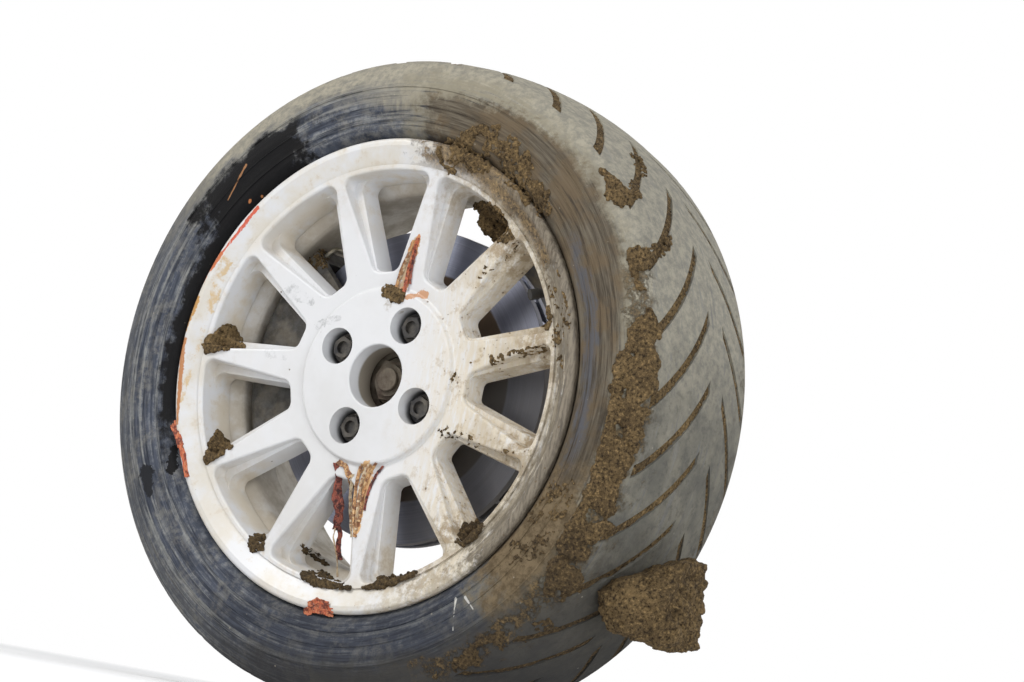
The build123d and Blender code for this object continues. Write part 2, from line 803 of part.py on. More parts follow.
def make_bridge_bolts():
    bolts = []
    for angle in end_places():
        shank = along_y(bridge_bolt_r, caliper_in_y, caliper_back_y + 1, bridge_bolt_mid_r, angle)
        head_y = caliper_back_y + bridge_bolt_head
        head = along_y(bridge_bolt_head_r, caliper_back_y, head_y, bridge_bolt_mid_r, angle)
        bolts.append(shank + head)
    return bolts


def make_caliper_bolts():
    bolts = []
    for side in (-1, 1):
        angle = caliper_angle + side * lug_angle
        shank = along_y(bolt_r, plate_y - lug_thick + 1, plate_end_y + 1, lug_r, angle)
        head = hex_along_y(bolt_flats, plate_end_y, plate_end_y + bolt_head, lug_r, angle)
        bolts.append(shank + head)
    return bolts


def make_crossover_pipe():
    """Fluid pipe over the disc's edge, joining the two halves at the caliper's upper end"""
    end = math.radians(caliper_angle - caliper_arc / 2)
    out = Vector(math.sin(end), 0, -math.cos(end))
    foot = Vector(pipe_mid_r * math.cos(end), 0, pipe_mid_r * math.sin(end))
    y0 = caliper_face_y + pipe_inset
    y1 = caliper_back_y - pipe_inset
    points = [
        foot + Vector(0, y0, 0) + out * 0.1,
        foot + Vector(0, y0, 0) + out * pipe_reach,
        foot + Vector(0, y1, 0) + out * pipe_reach,
        foot + Vector(0, y1, 0) + out * 0.1,
    ]
    path = FilletPolyline(*points, radius=6)
    return sweep(Plane(origin=points[0], z_dir=out) * Circle(pipe_r), path=path)


pieces = {
    "tyre": make_tyre(),
    "wheel_rim": make_rim(),
    "wheel_nuts": make_wheel_nuts(),
    "wheel_studs": make_wheel_studs(),
    "valve_stem": make_valve_stem(),
    "valve_cap": make_valve_cap(),
    "hub": make_hub(),
    "brake_disc": make_brake_disc(),
    "axle_washer": make_axle_washer(),
    "axle_nut": make_axle_nut(),
    "cv_bell": make_cv_bell(),
    "cv_inner_race": make_cv_inner_race(),
    "cv_cage": make_cv_cage(),
    "cv_balls": make_cv_balls(),
    "wheel_bearing": make_bearing(),
    "knuckle": make_knuckle(),
    "strut_clamp_bolts": make_strut_clamp_bolts(),
    "ball_joint_bolt": make_ball_joint_bolt(),
    "caliper_outer": make_caliper_outer(),
    "caliper_inner": make_caliper_inner(),
    "pad_outer": make_pad(disc_y, -1),
    "pad_inner": make_pad(disc_back_y, 1),
    "pistons": make_pistons(),
    "pad_pins": make_pad_pins(),
    "bridge_bolts": make_bridge_bolts(),
    "caliper_bolts": make_caliper_bolts(),
    "crossover_pipe": make_crossover_pipe(),
}

os.makedirs("parts", exist_ok=True)
for name, shape in pieces.items():
    if isinstance(shape, list):
        shape = Compound(children=list(shape))
    export_step(shape.moved(home), f"parts/{name}.step")
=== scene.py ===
import json
import math
import random

import bmesh
import bpy
from mathutils import Matrix, Vector
from mathutils import noise as earth_noise
from mathutils.bvhtree import BVHTree


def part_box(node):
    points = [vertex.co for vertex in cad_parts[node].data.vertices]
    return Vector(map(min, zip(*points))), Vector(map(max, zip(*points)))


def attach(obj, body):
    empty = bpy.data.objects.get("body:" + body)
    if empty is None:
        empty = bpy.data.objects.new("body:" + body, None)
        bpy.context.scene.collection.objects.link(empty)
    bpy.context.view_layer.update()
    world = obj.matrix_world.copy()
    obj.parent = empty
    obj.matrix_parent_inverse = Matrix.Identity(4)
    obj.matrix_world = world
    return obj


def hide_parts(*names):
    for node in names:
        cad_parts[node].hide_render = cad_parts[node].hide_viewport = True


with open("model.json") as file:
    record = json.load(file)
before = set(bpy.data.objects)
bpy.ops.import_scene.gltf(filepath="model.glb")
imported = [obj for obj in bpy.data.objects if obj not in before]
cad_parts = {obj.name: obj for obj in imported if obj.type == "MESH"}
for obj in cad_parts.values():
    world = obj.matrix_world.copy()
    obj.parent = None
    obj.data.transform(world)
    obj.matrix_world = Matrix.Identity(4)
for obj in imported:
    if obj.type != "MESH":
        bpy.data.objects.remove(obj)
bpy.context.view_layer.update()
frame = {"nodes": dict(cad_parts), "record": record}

# Front wheel corner of a rally car. Metres, in the frame of the solids: +Z up, the wheel's face to -Y.
# The wheel's own places are in millimetres from the middle of the rim's outer lip: radius, depth
# along +Y, and the angle in degrees from +X (rearwards) towards +Z (up).
mm = 0.001
rim_low, rim_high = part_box("wheel_rim")
tyre_low, tyre_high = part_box("tyre")
wheel_middle = Vector(((rim_low[0] + rim_high[0]) / 2, rim_low[1], (rim_low[2] + rim_high[2]) / 2))
flange_r = (rim_high[0] - rim_low[0]) / 2 / mm
tyre_r = (tyre_high[0] - tyre_low[0]) / 2 / mm
tyre_mid_y = (tyre_low[1] + tyre_high[1]) / 2
mid_depth = (tyre_mid_y - wheel_middle.y) / mm
sidewall_bulge = 1.9
tyre_half = (tyre_high[1] - tyre_low[1]) / 2 / mm + sidewall_bulge

# The photograph's viewpoint, found from the wheel's circles
photo_size = (1024, 682)
view_azimuth = 33.88
view_elevation = -6.55
view_roll = 10.42
view_focal = 3303.1
view_distance = 3.0
wheel_pixel = (366.9, 372.9)
sensor_width = 36.0

# Paper floor: its width, its gap under the tyre, and where it runs out into the white backdrop
floor_size = 30
floor_gap = 0.0005
floor_fade = (0.8, 2.6)

# Sizes in metres of the clouds that roughen earth and torn edges
cloud_sizes = {"heaps": 0.028, "crumbs": 0.0035, "grains": 0.0028}

# Lamps aimed at the wheel: place, size, power and colour
lamps = {
    "key_lamp": ((-1.6, -2.6, 2.2), 1.4, 84, (1.0, 0.98, 0.95)),
    "fill_lamp": ((2.6, -1.8, 0.9), 2.0, 50, (0.95, 0.97, 1.0)),
    "back_lamp": ((0.5, 2.4, 1.8), 1.5, 25, (1.0, 1.0, 1.0)),
}

random.seed(7)


def wheel_point(radius, depth, angle):
    """Place in the scene of a point given by radius, depth and angle on the wheel"""
    turn = math.radians(angle)
    return wheel_middle + mm * Vector((radius * math.cos(turn), depth, radius * math.sin(turn)))


# Camera, floor and light


def photo_axes():
    """Right, up and back of the photograph's camera"""
    azimuth = math.radians(view_azimuth)
    elevation = math.radians(view_elevation)
    roll = math.radians(view_roll)
    back = Vector((
        math.sin(azimuth) * math.cos(elevation),
        -math.cos(azimuth) * math.cos(elevation),
        math.sin(elevation),
    ))
    level = (-back).cross(Vector((0, 0, 1))).normalized()
    upright = level.cross(-back)
    right = math.cos(roll) * level + math.sin(roll) * upright
    up = -math.sin(roll) * level + math.cos(roll) * upright
    return right, up, back


def pixel_ray(x, y):
    """Direction of the camera's ray through a pixel of the photograph"""
    right, up, back = photo_axes()
    across = (x - photo_size[0] / 2) / view_focal
    down = (y - photo_size[1] / 2) / view_focal
    return (-back + across * right - down * up).normalized()


def camera_place():
    right, up, back = photo_axes()
    across = (wheel_pixel[0] - photo_size[0] / 2) / view_focal
    down = (wheel_pixel[1] - photo_size[1] / 2) / view_focal
    return wheel_middle - view_distance * (-back + across * right - down * up)


def make_camera():
    data = bpy.data.cameras.new("photo_view")
    data.sensor_width = sensor_width
    data.lens = view_focal * sensor_width / photo_size[0]
    data.clip_start = 0.05
    data.clip_end = 100
    camera = bpy.data.objects.new("photo_view", data)
    bpy.context.collection.objects.link(camera)
    right, up, back = photo_axes()
    turned = Matrix((right, up, back)).transposed().to_4x4()
    turned.translation = camera_place()
    camera.matrix_world = turned
    bpy.context.scene.camera = camera
    bpy.context.scene.view_settings.view_transform = "Standard"


def make_lamp(name, place, size, power, colour):
    """Soft square lamp aimed at the wheel"""
    data = bpy.data.lights.new(name, "AREA")
    data.shape = "SQUARE"
    data.size = size
    data.energy = power
    data.color = colour
    lamp = bpy.data.objects.new(name, data)
    bpy.context.collection.objects.link(lamp)
    lamp.location = place
    lamp.rotation_mode = "QUATERNION"
    lamp.rotation_quaternion = (wheel_middle - Vector(place)).to_track_quat("-Z", "Y")


def make_world():
    """Pale sky as the light, white backdrop as what is seen"""
    world = bpy.data.worlds.new("studio")
    bpy.context.scene.world = world
    world.use_nodes = True
    tree = world.node_tree
    tree.nodes.clear()
    open_sky = node(tree, "ShaderNodeBackground", {"Color": (0.92, 0.95, 1.0, 1), "Strength": 0.45})
    backdrop = node(tree, "ShaderNodeBackground", {"Color": (1, 1, 1, 1), "Strength": 1.0})
    seen = node(tree, "ShaderNodeLightPath").outputs
    direct = most(seen["Is Camera Ray"], seen["Is Glossy Ray"], seen["Is Transmission Ray"])
    chosen = node(tree, "ShaderNodeMixShader", {0: direct, 1: open_sky.outputs[0], 2: backdrop.outputs[0]})
    node(tree, "ShaderNodeOutputWorld", {"Surface": chosen.outputs[0]})


def make_floor():
    """Pale paper that keeps the wheel's shadow and runs out into the white backdrop"""
    deselect_all()
    bpy.ops.mesh.primitive_plane_add(
        size=floor_size, location=(wheel_middle.x, wheel_middle.y, tyre_low[2] - floor_gap))
    floor = bpy.context.object
    floor.name = "studio_floor"
    material, tree, shader = start_material("floor_paper")
    fill(shader, {"Base Color": (0.86, 0.86, 0.86, 1), "Roughness": 0.9})
    place = node(tree, "ShaderNodeTexCoord").outputs["Object"]
    away = node(tree, "ShaderNodeVectorMath", {0: place}, operation="LENGTH").outputs["Value"]
    seen = node(tree, "ShaderNodeLightPath").outputs
    direct = most(seen["Is Camera Ray"], seen["Is Glossy Ray"])
    glow = node(tree, "ShaderNodeEmission", {"Color": (1, 1, 1, 1), "Strength": 1.0})
    mixed = node(tree, "ShaderNodeMixShader", {
        0: times(rise(away, *floor_fade), direct), 1: shader.outputs[0], 2: glow.outputs[0]})
    sink = next(each for each in tree.nodes if each.bl_idname == "ShaderNodeOutputMaterial")
    fill(sink, {"Surface": mixed.outputs[0]})
    paint(floor, material)


# Selecting and finishing pieces


def deselect_all():
    if bpy.context.object and bpy.context.object.mode == "EDIT":
        bpy.ops.object.mode_set(mode="OBJECT")
    bpy.ops.object.select_all(action="DESELECT")


def only(piece):
    """Make one piece the selected and active one"""
    deselect_all()
    piece.select_set(True)
    bpy.context.view_layer.objects.active = piece


def edit(piece):
    only(piece)
    bpy.ops.object.mode_set(mode="EDIT")
    bpy.ops.mesh.select_all(action="DESELECT")


def leave_edit():
    bpy.ops.object.mode_set(mode="OBJECT")


def pick(piece, kind, test):
    """In edit mode, select the vertices or faces whose place passes the test"""
    bpy.ops.mesh.select_mode(type={"verts": "VERT", "faces": "FACE"}[kind])
    bpy.ops.mesh.select_all(action="DESELECT")
    shape = bmesh.from_edit_mesh(piece.data)
    for item in getattr(shape, kind):
        if test(item.co if kind == "verts" else item.calc_center_median()):
            item.select = True
    shape.select_flush_mode()
    bmesh.update_edit_mesh(piece.data)


def draw_path(name, places, aside=Vector((0, 0, 0))):
    """New piece, left in edit mode: a vertex set aside from the first place and extruded along the rest"""
    deselect_all()
    bpy.ops.mesh.primitive_plane_add(size=0.01, location=(0, 0, 0))
    piece = bpy.context.object
    piece.name = name
    bpy.ops.object.mode_set(mode="EDIT")
    bpy.ops.mesh.select_mode(type="VERT")
    bpy.ops.mesh.select_all(action="SELECT")
    bpy.ops.mesh.merge(type="CENTER")
    bpy.ops.transform.translate(value=places[0] + aside)
    for here, there in zip(places, places[1:]):
        bpy.ops.mesh.extrude_region_move(TRANSFORM_OT_translate={"value": there - here})
    bpy.ops.mesh.select_all(action="SELECT")
    return piece


def face_outwards(merged=0.0):
    """In edit mode, merge doubles nearer than a distance and turn every face outwards"""
    bpy.ops.mesh.select_all(action="SELECT")
    if merged:
        bpy.ops.mesh.remove_doubles(threshold=merged)
    bpy.ops.mesh.normals_make_consistent(inside=False)


def modify(piece, kind, **settings):
    """Add a modifier with its settings and apply it"""
    only(piece)
    modifier = piece.modifiers.new(kind.lower(), kind)
    for name, value in settings.items():
        setattr(modifier, name, value)
    bpy.ops.object.modifier_apply(modifier=modifier.name)


def roughen(piece, clouds, strength, middle=0.5):
    """Displace a surface by clouds of a named size, by a strength in millimetres"""
    if clouds not in bpy.data.textures:
        texture = bpy.data.textures.new(clouds, "CLOUDS")
        texture.noise_scale = cloud_sizes[clouds]
        texture.noise_depth = 2
    modify(piece, "DISPLACE", texture=bpy.data.textures[clouds], strength=strength * mm, mid_level=middle)


def settle(piece):
    """Put a piece's place into its mesh, so that its object sits at the origin"""
    only(piece)
    bpy.ops.object.transform_apply(location=True, rotation=True, scale=True)


def smooth(piece, degrees):
    only(piece)
    bpy.ops.object.shade_smooth_by_angle(angle=math.radians(degrees))


def paint(piece, material):
    piece.data.materials.clear()
    piece.data.materials.append(material)


# Nodes


def fill(made, inputs):
    """Give a node's inputs their values or links"""
    for name, value in inputs.items():
        if isinstance(value, bpy.types.NodeSocket):
            made.id_data.links.new(value, made.inputs[name])
        else:
            made.inputs[name].default_value = value


def node(tree, kind, inputs=None, **settings):
    """Add a node, set it up, and fill its inputs"""
    made = tree.nodes.new(kind)
    for name, value in settings.items():
        setattr(made, name, value)
    fill(made, inputs or {})
    return made


def tree_of(*values):
    """Tree that the first value with a node belongs to"""
    return next(value.id_data for value in values if isinstance(value, bpy.types.NodeSocket))


def maths(operation, first, second, clamp=False):
    tree = tree_of(first, second)
    made = node(tree, "ShaderNodeMath", {0: first, 1: second}, operation=operation, use_clamp=clamp)
    return made.outputs[0]


def chain(operation, values):
    result = values[0]
    for value in values[1:]:
        result = maths(operation, result, value)
    return result


def times(*values):
    return chain("MULTIPLY", values)


def plus(*values):
    return chain("ADD", values)


def minus(*values):
    return chain("SUBTRACT", values)


def most(*values):
    return chain("MAXIMUM", values)


def rise(value, low, high):
    """0 below low, 1 above high, smooth between them"""
    made = node(
        value.id_data, "ShaderNodeMapRange",
        {"Value": value, "From Min": low, "From Max": high},
        interpolation_type="SMOOTHSTEP",
    )
    return made.outputs["Result"]


def fall(value, low, high):
    return minus(1.0, rise(value, low, high))


def between(value, start, end, soft):
    """1 from start to end, with a soft edge at each"""
    return times(rise(value, start - soft, start + soft), fall(value, end - soft, end + soft))


def blend(amount, below, above):
    """Colour above laid over colour below by an amount"""
    inputs = {0: amount}
    for index, colour in ((6, below), (7, above)):
        inputs[index] = colour if isinstance(colour, bpy.types.NodeSocket) else (*colour, 1)
    tree = tree_of(amount, below, above)
    return node(tree, "ShaderNodeMix", inputs, data_type="RGBA", clamp_factor=True).outputs[2]


def cover(below, above, *masks):
    """Colour above laid over colour below where all the masks are"""
    return blend(times(*masks), below, above)


def noise(vector, scale, detail, roughness=0.55):
    made = node(vector.id_data, "ShaderNodeTexNoise", {
        "Vector": vector, "Scale": scale, "Detail": detail, "Roughness": roughness, "Distortion": 0.0})
    return made.outputs["Fac"]


def stretched(vector, scale):
    return node(vector.id_data, "ShaderNodeMapping", {"Vector": vector, "Scale": scale}).outputs[0]


def vectors(operation, first, second=None, **others):
    """Outputs of a vector sum between two vectors, or of one vector and a Scale"""
    inputs = {0: first, **others} if second is None else {0: first, 1: second}
    return node(tree_of(first, second), "ShaderNodeVectorMath", inputs, operation=operation).outputs


def make_group(name, **inputs):
    """Empty shader group and its inputs: a number, or a vector where the value is None"""
    group = bpy.data.node_groups.new(name, "ShaderNodeTree")
    for label, value in inputs.items():
        kind = "NodeSocketVector" if value is None else "NodeSocketFloat"
        socket = group.interface.new_socket(label, in_out="INPUT", socket_type=kind)
        if value is not None:
            socket.default_value = value
    return group, group.nodes.new("NodeGroupInput").outputs


def put_out(group, **values):
    """Give a group its named outputs"""
    kinds = {"VALUE": "NodeSocketFloat", "RGBA": "NodeSocketColor", "VECTOR": "NodeSocketVector"}
    for label, value in values.items():
        group.interface.new_socket(label, in_out="OUTPUT", socket_type=kinds[value.type])
    node(group, "NodeGroupOutput", values)
    return group


def use_group(tree, group, inputs=None):
    return node(tree, "ShaderNodeGroup", inputs, node_tree=group).outputs


def make_wheel_place():
    """Radius, depth and angle on the wheel, and a place that runs along its turning"""
    group = make_group("wheel_place")[0]
    place = vectors("SUBTRACT", node(group, "ShaderNodeTexCoord").outputs["Object"], wheel_middle)[0]
    scaled = vectors("SCALE", place, Scale=1 / mm)[0]
    x, y, z = node(group, "ShaderNodeSeparateXYZ", {0: scaled}).outputs
    radius = node(group, "ShaderNodeMath", {0: plus(times(x, x), times(z, z))}, operation="SQRT").outputs[0]
    angle = times(maths("ARCTAN2", z, x), 180 / math.pi)
    whole_turn = times(maths("LESS_THAN", angle, -90.0), 360.0)
    around = node(group, "ShaderNodeCombineXYZ", {
        0: maths("DIVIDE", x, radius), 1: maths("DIVIDE", z, radius), 2: plus(radius, times(y, 0.7))})
    return put_out(
        group, Radius=radius, Depth=y, Angle=plus(angle, whole_turn), Around=around.outputs[0], Place=scaled)


def make_earth():
    """Colour and height of caked earth, between its dry and its wet colour, with painted highlights on its
    raised grains and painted shade in its hollows
    """
    group, source = make_group("earth", Place=None, Wetness=0.4)
    place = source["Place"]
    patches = noise(place, 0.035, 5.0, 0.6)
    grains = noise(place, 0.34, 5.0, 0.72)
    damp = rise(plus(source["Wetness"], minus(patches, 0.5)), 0.0, 0.8)
    colour = blend(damp, (0.25, 0.168, 0.076), (0.082, 0.054, 0.026))
    # Painted highlights on the raised grains, painted shade in the hollows between them
    colour = cover(colour, (0.42, 0.28, 0.12), rise(grains, 0.53, 0.68), 0.7)
    colour = cover(colour, (0.020, 0.013, 0.007), fall(grains, 0.37, 0.51), 0.9)
    height = plus(grains, times(noise(place, 1.7, 2.0), 0.4))
    return put_out(group, Colour=colour, Height=height)


def make_specks():
    """Mask of small splashed specks"""
    group, source = make_group("specks", Place=None, Spacing=6.0, Amount=0.3)
    scale = maths("DIVIDE", 1.0, source["Spacing"])
    cells = node(group, "ShaderNodeTexVoronoi", {"Vector": source["Place"], "Scale": scale}, feature="F1")
    chance = node(group, "ShaderNodeSeparateColor", {0: cells.outputs["Color"]}).outputs[0]
    size = times(minus(source["Amount"], chance), 0.9)
    return put_out(group, Mask=rise(minus(size, cells.outputs["Distance"]), -0.03, 0.05))


def make_scrape():
    """Mask of a ragged mark along a straight line from Start to Finish, in the wheel's millimetres"""
    group, source = make_group("scrape", Place=None, Start=None, Finish=None, Width=4.0)
    place, start = source["Place"], source["Start"]
    along = vectors("SUBTRACT", source["Finish"], start)[0]
    away = vectors("SUBTRACT", place, start)[0]
    reach = vectors("DOT_PRODUCT", away, along)["Value"]
    whole = vectors("DOT_PRODUCT", along, along)["Value"]
    share = maths("DIVIDE", reach, whole, clamp=True)
    nearest = vectors("SCALE", along, Scale=share)[0]
    off = vectors("DISTANCE", away, nearest)["Value"]
    taper = minus(1.0, times(share, 0.55))
    grain = times(minus(noise(place, 0.16, 5.0, 0.7), 0.42), 2.6)
    width = times(source["Width"], taper, plus(0.75, grain))
    return put_out(group, Mask=rise(minus(width, off), -0.2, 0.5))


wheel_place = make_wheel_place()
earth = make_earth()
specks = make_specks()
scrape = make_scrape()


def start_material(name):
    material = bpy.data.materials.new(name)
    material.use_nodes = True
    tree = material.node_tree
    tree.nodes.clear()
    shader = node(tree, "ShaderNodeBsdfPrincipled")
    node(tree, "ShaderNodeOutputMaterial", {"Surface": shader.outputs[0]})
    return material, tree, shader


def make_plain(name, colour, roughness):
    material, tree, shader = start_material(name)
    fill(shader, {"Base Color": (*colour, 1), "Roughness": roughness, "Metallic": 0.0})
    return material


def add_bump(shader, height, distance):
    """Relief whose height is in millimetres"""
    bump = node(shader.id_data, "ShaderNodeBump", {
        "Height": height, "Distance": distance * mm, "Strength": 1.0})
    fill(shader, {"Normal": bump.outputs[0]})


# Materials

# Scrapes and streaks from one pixel of the photograph to another: width in millimetres, colour, and
# for the paint's patchy ones how strong they are
paint_marks = [
    ((398, 292), (417, 240), 8.0, (0.50, 0.36, 0.22)),
    ((403, 290), (419, 236), 4.2, (0.52, 0.21, 0.08)),
    ((407, 282), (414, 254), 1.8, (0.16, 0.06, 0.03)),
    ((424, 294), (406, 298), 5.0, (0.50, 0.27, 0.15)),
    ((368, 468), (356, 532), 7.0, (0.58, 0.36, 0.17)),
    ((358, 524), (366, 482), 2.4, (0.25, 0.10, 0.04)),
    ((257, 208), (221, 254), 2.6, (0.52, 0.085, 0.04)),
    ((221, 254), (195, 302), 2.8, (0.50, 0.14, 0.05)),
    ((224, 262), (180, 400), 6.5, (0.55, 0.40, 0.22), 0.9),
    ((197, 300), (180, 352), 4.2, (0.46, 0.25, 0.08)),
    ((184, 340), (177, 424), 3.6, (0.42, 0.18, 0.07)),
    ((292, 291), (312, 302), 8.0, (0.36, 0.365, 0.37), 0.75),
    ((322, 324), (339, 318), 6.5, (0.32, 0.325, 0.33), 0.8),
    ((268, 352), (285, 358), 5.5, (0.42, 0.425, 0.43), 0.6),
    ((388, 306), (402, 312), 5.0, (0.34, 0.30, 0.25), 0.8),
]
tyre_marks = [
    ((250, 200), (243, 232), 1.5, (0.42, 0.16, 0.06)),
    ((262, 196), (268, 235), 1.2, (0.36, 0.15, 0.06)),
    ((246, 165), (228, 200), 1.3, (0.30, 0.15, 0.07)),
    ((456, 598), (453, 630), 1.4, (0.52, 0.51, 0.47)),
    ((465, 597), (473, 609), 1.2, (0.48, 0.47, 0.44)),
    ((146, 472), (149, 494), 9.0, (0.020, 0.021, 0.024)),
]
# The wiped patch's long edge on the tyre: two pixels and a width in millimetres
wiped_edge = ((206, 300), (171, 468), 12.5)


def mark_mask(trees, place, start_pixel, finish_pixel, width):
    """Mask of a mark, its ends found on the tyre and the rim"""
    start, finish = (
        (seen_surface(trees, *pixel)[0] - wheel_middle) / mm for pixel in (start_pixel, finish_pixel))
    inputs = {"Place": place, "Start": start, "Finish": finish, "Width": width}
    return use_group(place.id_data, scrape, inputs)["Mask"]


def make_tyre_rubber(trees):
    """Blue-black rubber, dusted and scuffed, with a film of wet earth over the rear side"""
    material, tree, shader = start_material("tyre_rubber")
    where = use_group(tree, wheel_place)
    place, around, radius = where["Place"], where["Around"], where["Radius"]
    clouds = noise(place, 0.03, 6.0, 0.65)
    mottle = noise(place, 0.13, 6.0, 0.75)
    fine = noise(place, 0.7, 3.0, 0.7)
    streaks = noise(stretched(around, (5.0, 5.0, 0.36)), 1.0, 5.0, 0.68)
    swirls = noise(stretched(around, (0.055, 0.055, 0.10)), 1.0, 6.0, 0.72)
    ragged = minus(noise(place, 0.045, 6.0, 0.7), 0.5)
    ragged_angle = plus(where["Angle"], times(ragged, 34))
    ragged_radius = plus(radius, times(ragged, 38))

    def area(first_angle, last_angle, angle_edge, first_radius, last_radius, radius_edge):
        """Part of the sidewall between two angles and two radii, with soft ragged edges"""
        return times(between(ragged_angle, first_angle, last_angle, angle_edge),
                     between(ragged_radius, first_radius, last_radius, radius_edge))

    colour = blend(rise(streaks, 0.30, 0.70), (0.030, 0.034, 0.045), (0.085, 0.096, 0.125))
    # Pale scuffs and dried splashes on the sidewall
    colour = cover(colour, (0.29, 0.295, 0.29), rise(mottle, 0.42, 0.62), rise(streaks, 0.40, 0.62),
                   rise(swirls, 0.40, 0.58), 0.85)
    colour = cover(colour, (0.25, 0.25, 0.235), rise(swirls, 0.50, 0.60), rise(streaks, 0.34, 0.56), 0.6)
    colour = cover(colour, (0.21, 0.20, 0.175), rise(clouds, 0.44, 0.62), rise(mottle, 0.38, 0.58), 0.45)
    # Dust from the shoulder outwards, tan above and grey below, rubbed down to the rubber in places
    facing = most(fall(ragged_angle, 135, 165), rise(where["Depth"], 34, 60))
    shoulder = times(rise(plus(ragged_radius, times(streaks, 8)), 266, 284), plus(0.25, times(facing, 0.75)))
    dust_colour = blend(rise(clouds, 0.35, 0.68), (0.125, 0.120, 0.102), (0.215, 0.200, 0.158))
    dust_colour = cover(dust_colour, (0.085, 0.080, 0.070), rise(mottle, 0.50, 0.62), 0.5)
    tan = blend(rise(mottle, 0.36, 0.64), (0.37, 0.34, 0.265), (0.235, 0.222, 0.185))
    dust_colour = cover(dust_colour, tan, between(ragged_angle, 6, 150, 16))
    rubbed_away = times(rise(streaks, 0.50, 0.66), rise(clouds, 0.46, 0.60), 0.62)
    colour = cover(colour, dust_colour, maths("SUBTRACT", shoulder, rubbed_away, clamp=True), 0.95)
    # Pale patch at the lower rear
    colour = cover(colour, (0.31, 0.295, 0.24), area(-50, -38, 5, 236, 268, 5), 0.6)
    # Dust combed outwards at the top of the sidewall
    combed = noise(stretched(around, (38.0, 38.0, 0.03)), 1.0, 3.0, 0.6)
    combed = plus(radius, times(minus(combed, 0.5), 34))
    colour = cover(colour, tan, between(ragged_angle, 48, 102, 9), rise(combed, 242, 256),
                   rise(streaks, 0.30, 0.46), 0.8)
    # The rear sidewall is tan between the smear and the shoulder
    colour = cover(colour, (0.25, 0.225, 0.165), between(ragged_angle, -46, 92, 8),
                   rise(streaks, 0.33, 0.52), fall(ragged_radius, 276, 296), 0.85)
    # Painted shade darkens the underside and the low side, on both sides of where the angle starts again
    painted_shade_under = most(between(ragged_angle, -150, -26, 10), rise(ragged_angle, 240, 264))
    colour = cover(colour, (0.046, 0.041, 0.034), painted_shade_under, rise(ragged_radius, 250, 276), 0.66)
    painted_shade_low_side = most(between(ragged_angle, -150, -42, 18), rise(ragged_angle, 232, 264))
    colour = cover(colour, (0.026, 0.028, 0.035), painted_shade_low_side, 0.5)
    # Smear of wet earth from the lip over the sidewall, drawn out in streaks
    wider = times(between(ragged_angle, 16, 66, 14), 15)
    smear = times(between(ragged_angle, -44, 86, 4), fall(minus(ragged_radius, wider), 258, 270))
    film = blend(rise(streaks, 0.36, 0.68), (0.055, 0.043, 0.030), (0.145, 0.122, 0.090))
    film = cover(film, (0.125, 0.086, 0.047), rise(clouds, 0.42, 0.58), rise(streaks, 0.30, 0.50), 0.7)
    colour = cover(colour, film, smear, 0.93)
    colour = cover(colour, (0.050, 0.040, 0.028), smear, between(ragged_angle, -44, -2, 8), 0.4)
    # Thick brown film at the lower end of the smear
    low_brown = blend(rise(mottle, 0.36, 0.62), (0.090, 0.064, 0.035), (0.175, 0.130, 0.076))
    colour = cover(colour, low_brown, area(-46, -16, 5, 224, 274, 5), 0.92)
    # Dark rubber shows through the middle of the smear
    bare = times(area(-14, 34, 5, 232, 246, 4), rise(streaks, 0.36, 0.56))
    colour = cover(colour, (0.085, 0.09, 0.105), bare, 0.8)
    # Stain under the packed earth on the shoulder
    stain = times(area(-64, 26, 5, 276, 293, 4), rise(mottle, 0.42, 0.56))
    mud = use_group(tree, earth, {"Place": place, "Wetness": 0.45})
    colour = cover(colour, mud["Colour"], stain, 0.75)
    # Earth left in the grooves
    packed = node(tree, "ShaderNodeAttribute", attribute_name="groove_floor").outputs["Fac"]
    colour = cover(colour, (0.06, 0.042, 0.025), packed)
    # Wiped black at the upper front, with a long point down beside the lip
    beside_lip = times(between(ragged_angle, 136, 202, 6), fall(ragged_radius, 230, 238))
    wiped = most(area(119, 151, 3, 212, 268, 4), beside_lip, mark_mask(trees, place, *wiped_edge))
    colour = cover(colour, (0.0045, 0.0042, 0.0045), wiped, 0.98)
    for start, finish, width, shade in tyre_marks:
        colour = cover(colour, shade, mark_mask(trees, place, start, finish, width))
    spots = use_group(tree, specks, {"Place": place, "Spacing": 8.0, "Amount": 0.16})["Mask"]
    colour = cover(colour, (0.33, 0.30, 0.24), spots, 0.6)
    fill(shader, {
        "Base Color": colour,
        "Roughness": minus(0.84, times(wiped, 0.30), times(smear, 0.14)),
        "Specular IOR Level": 0.11,
    })
    rough_mud = times(most(packed, stain), mud["Height"], 1.8)
    add_bump(shader, plus(times(streaks, 0.5), times(fine, 0.45), rough_mud), 1.0)
    return material


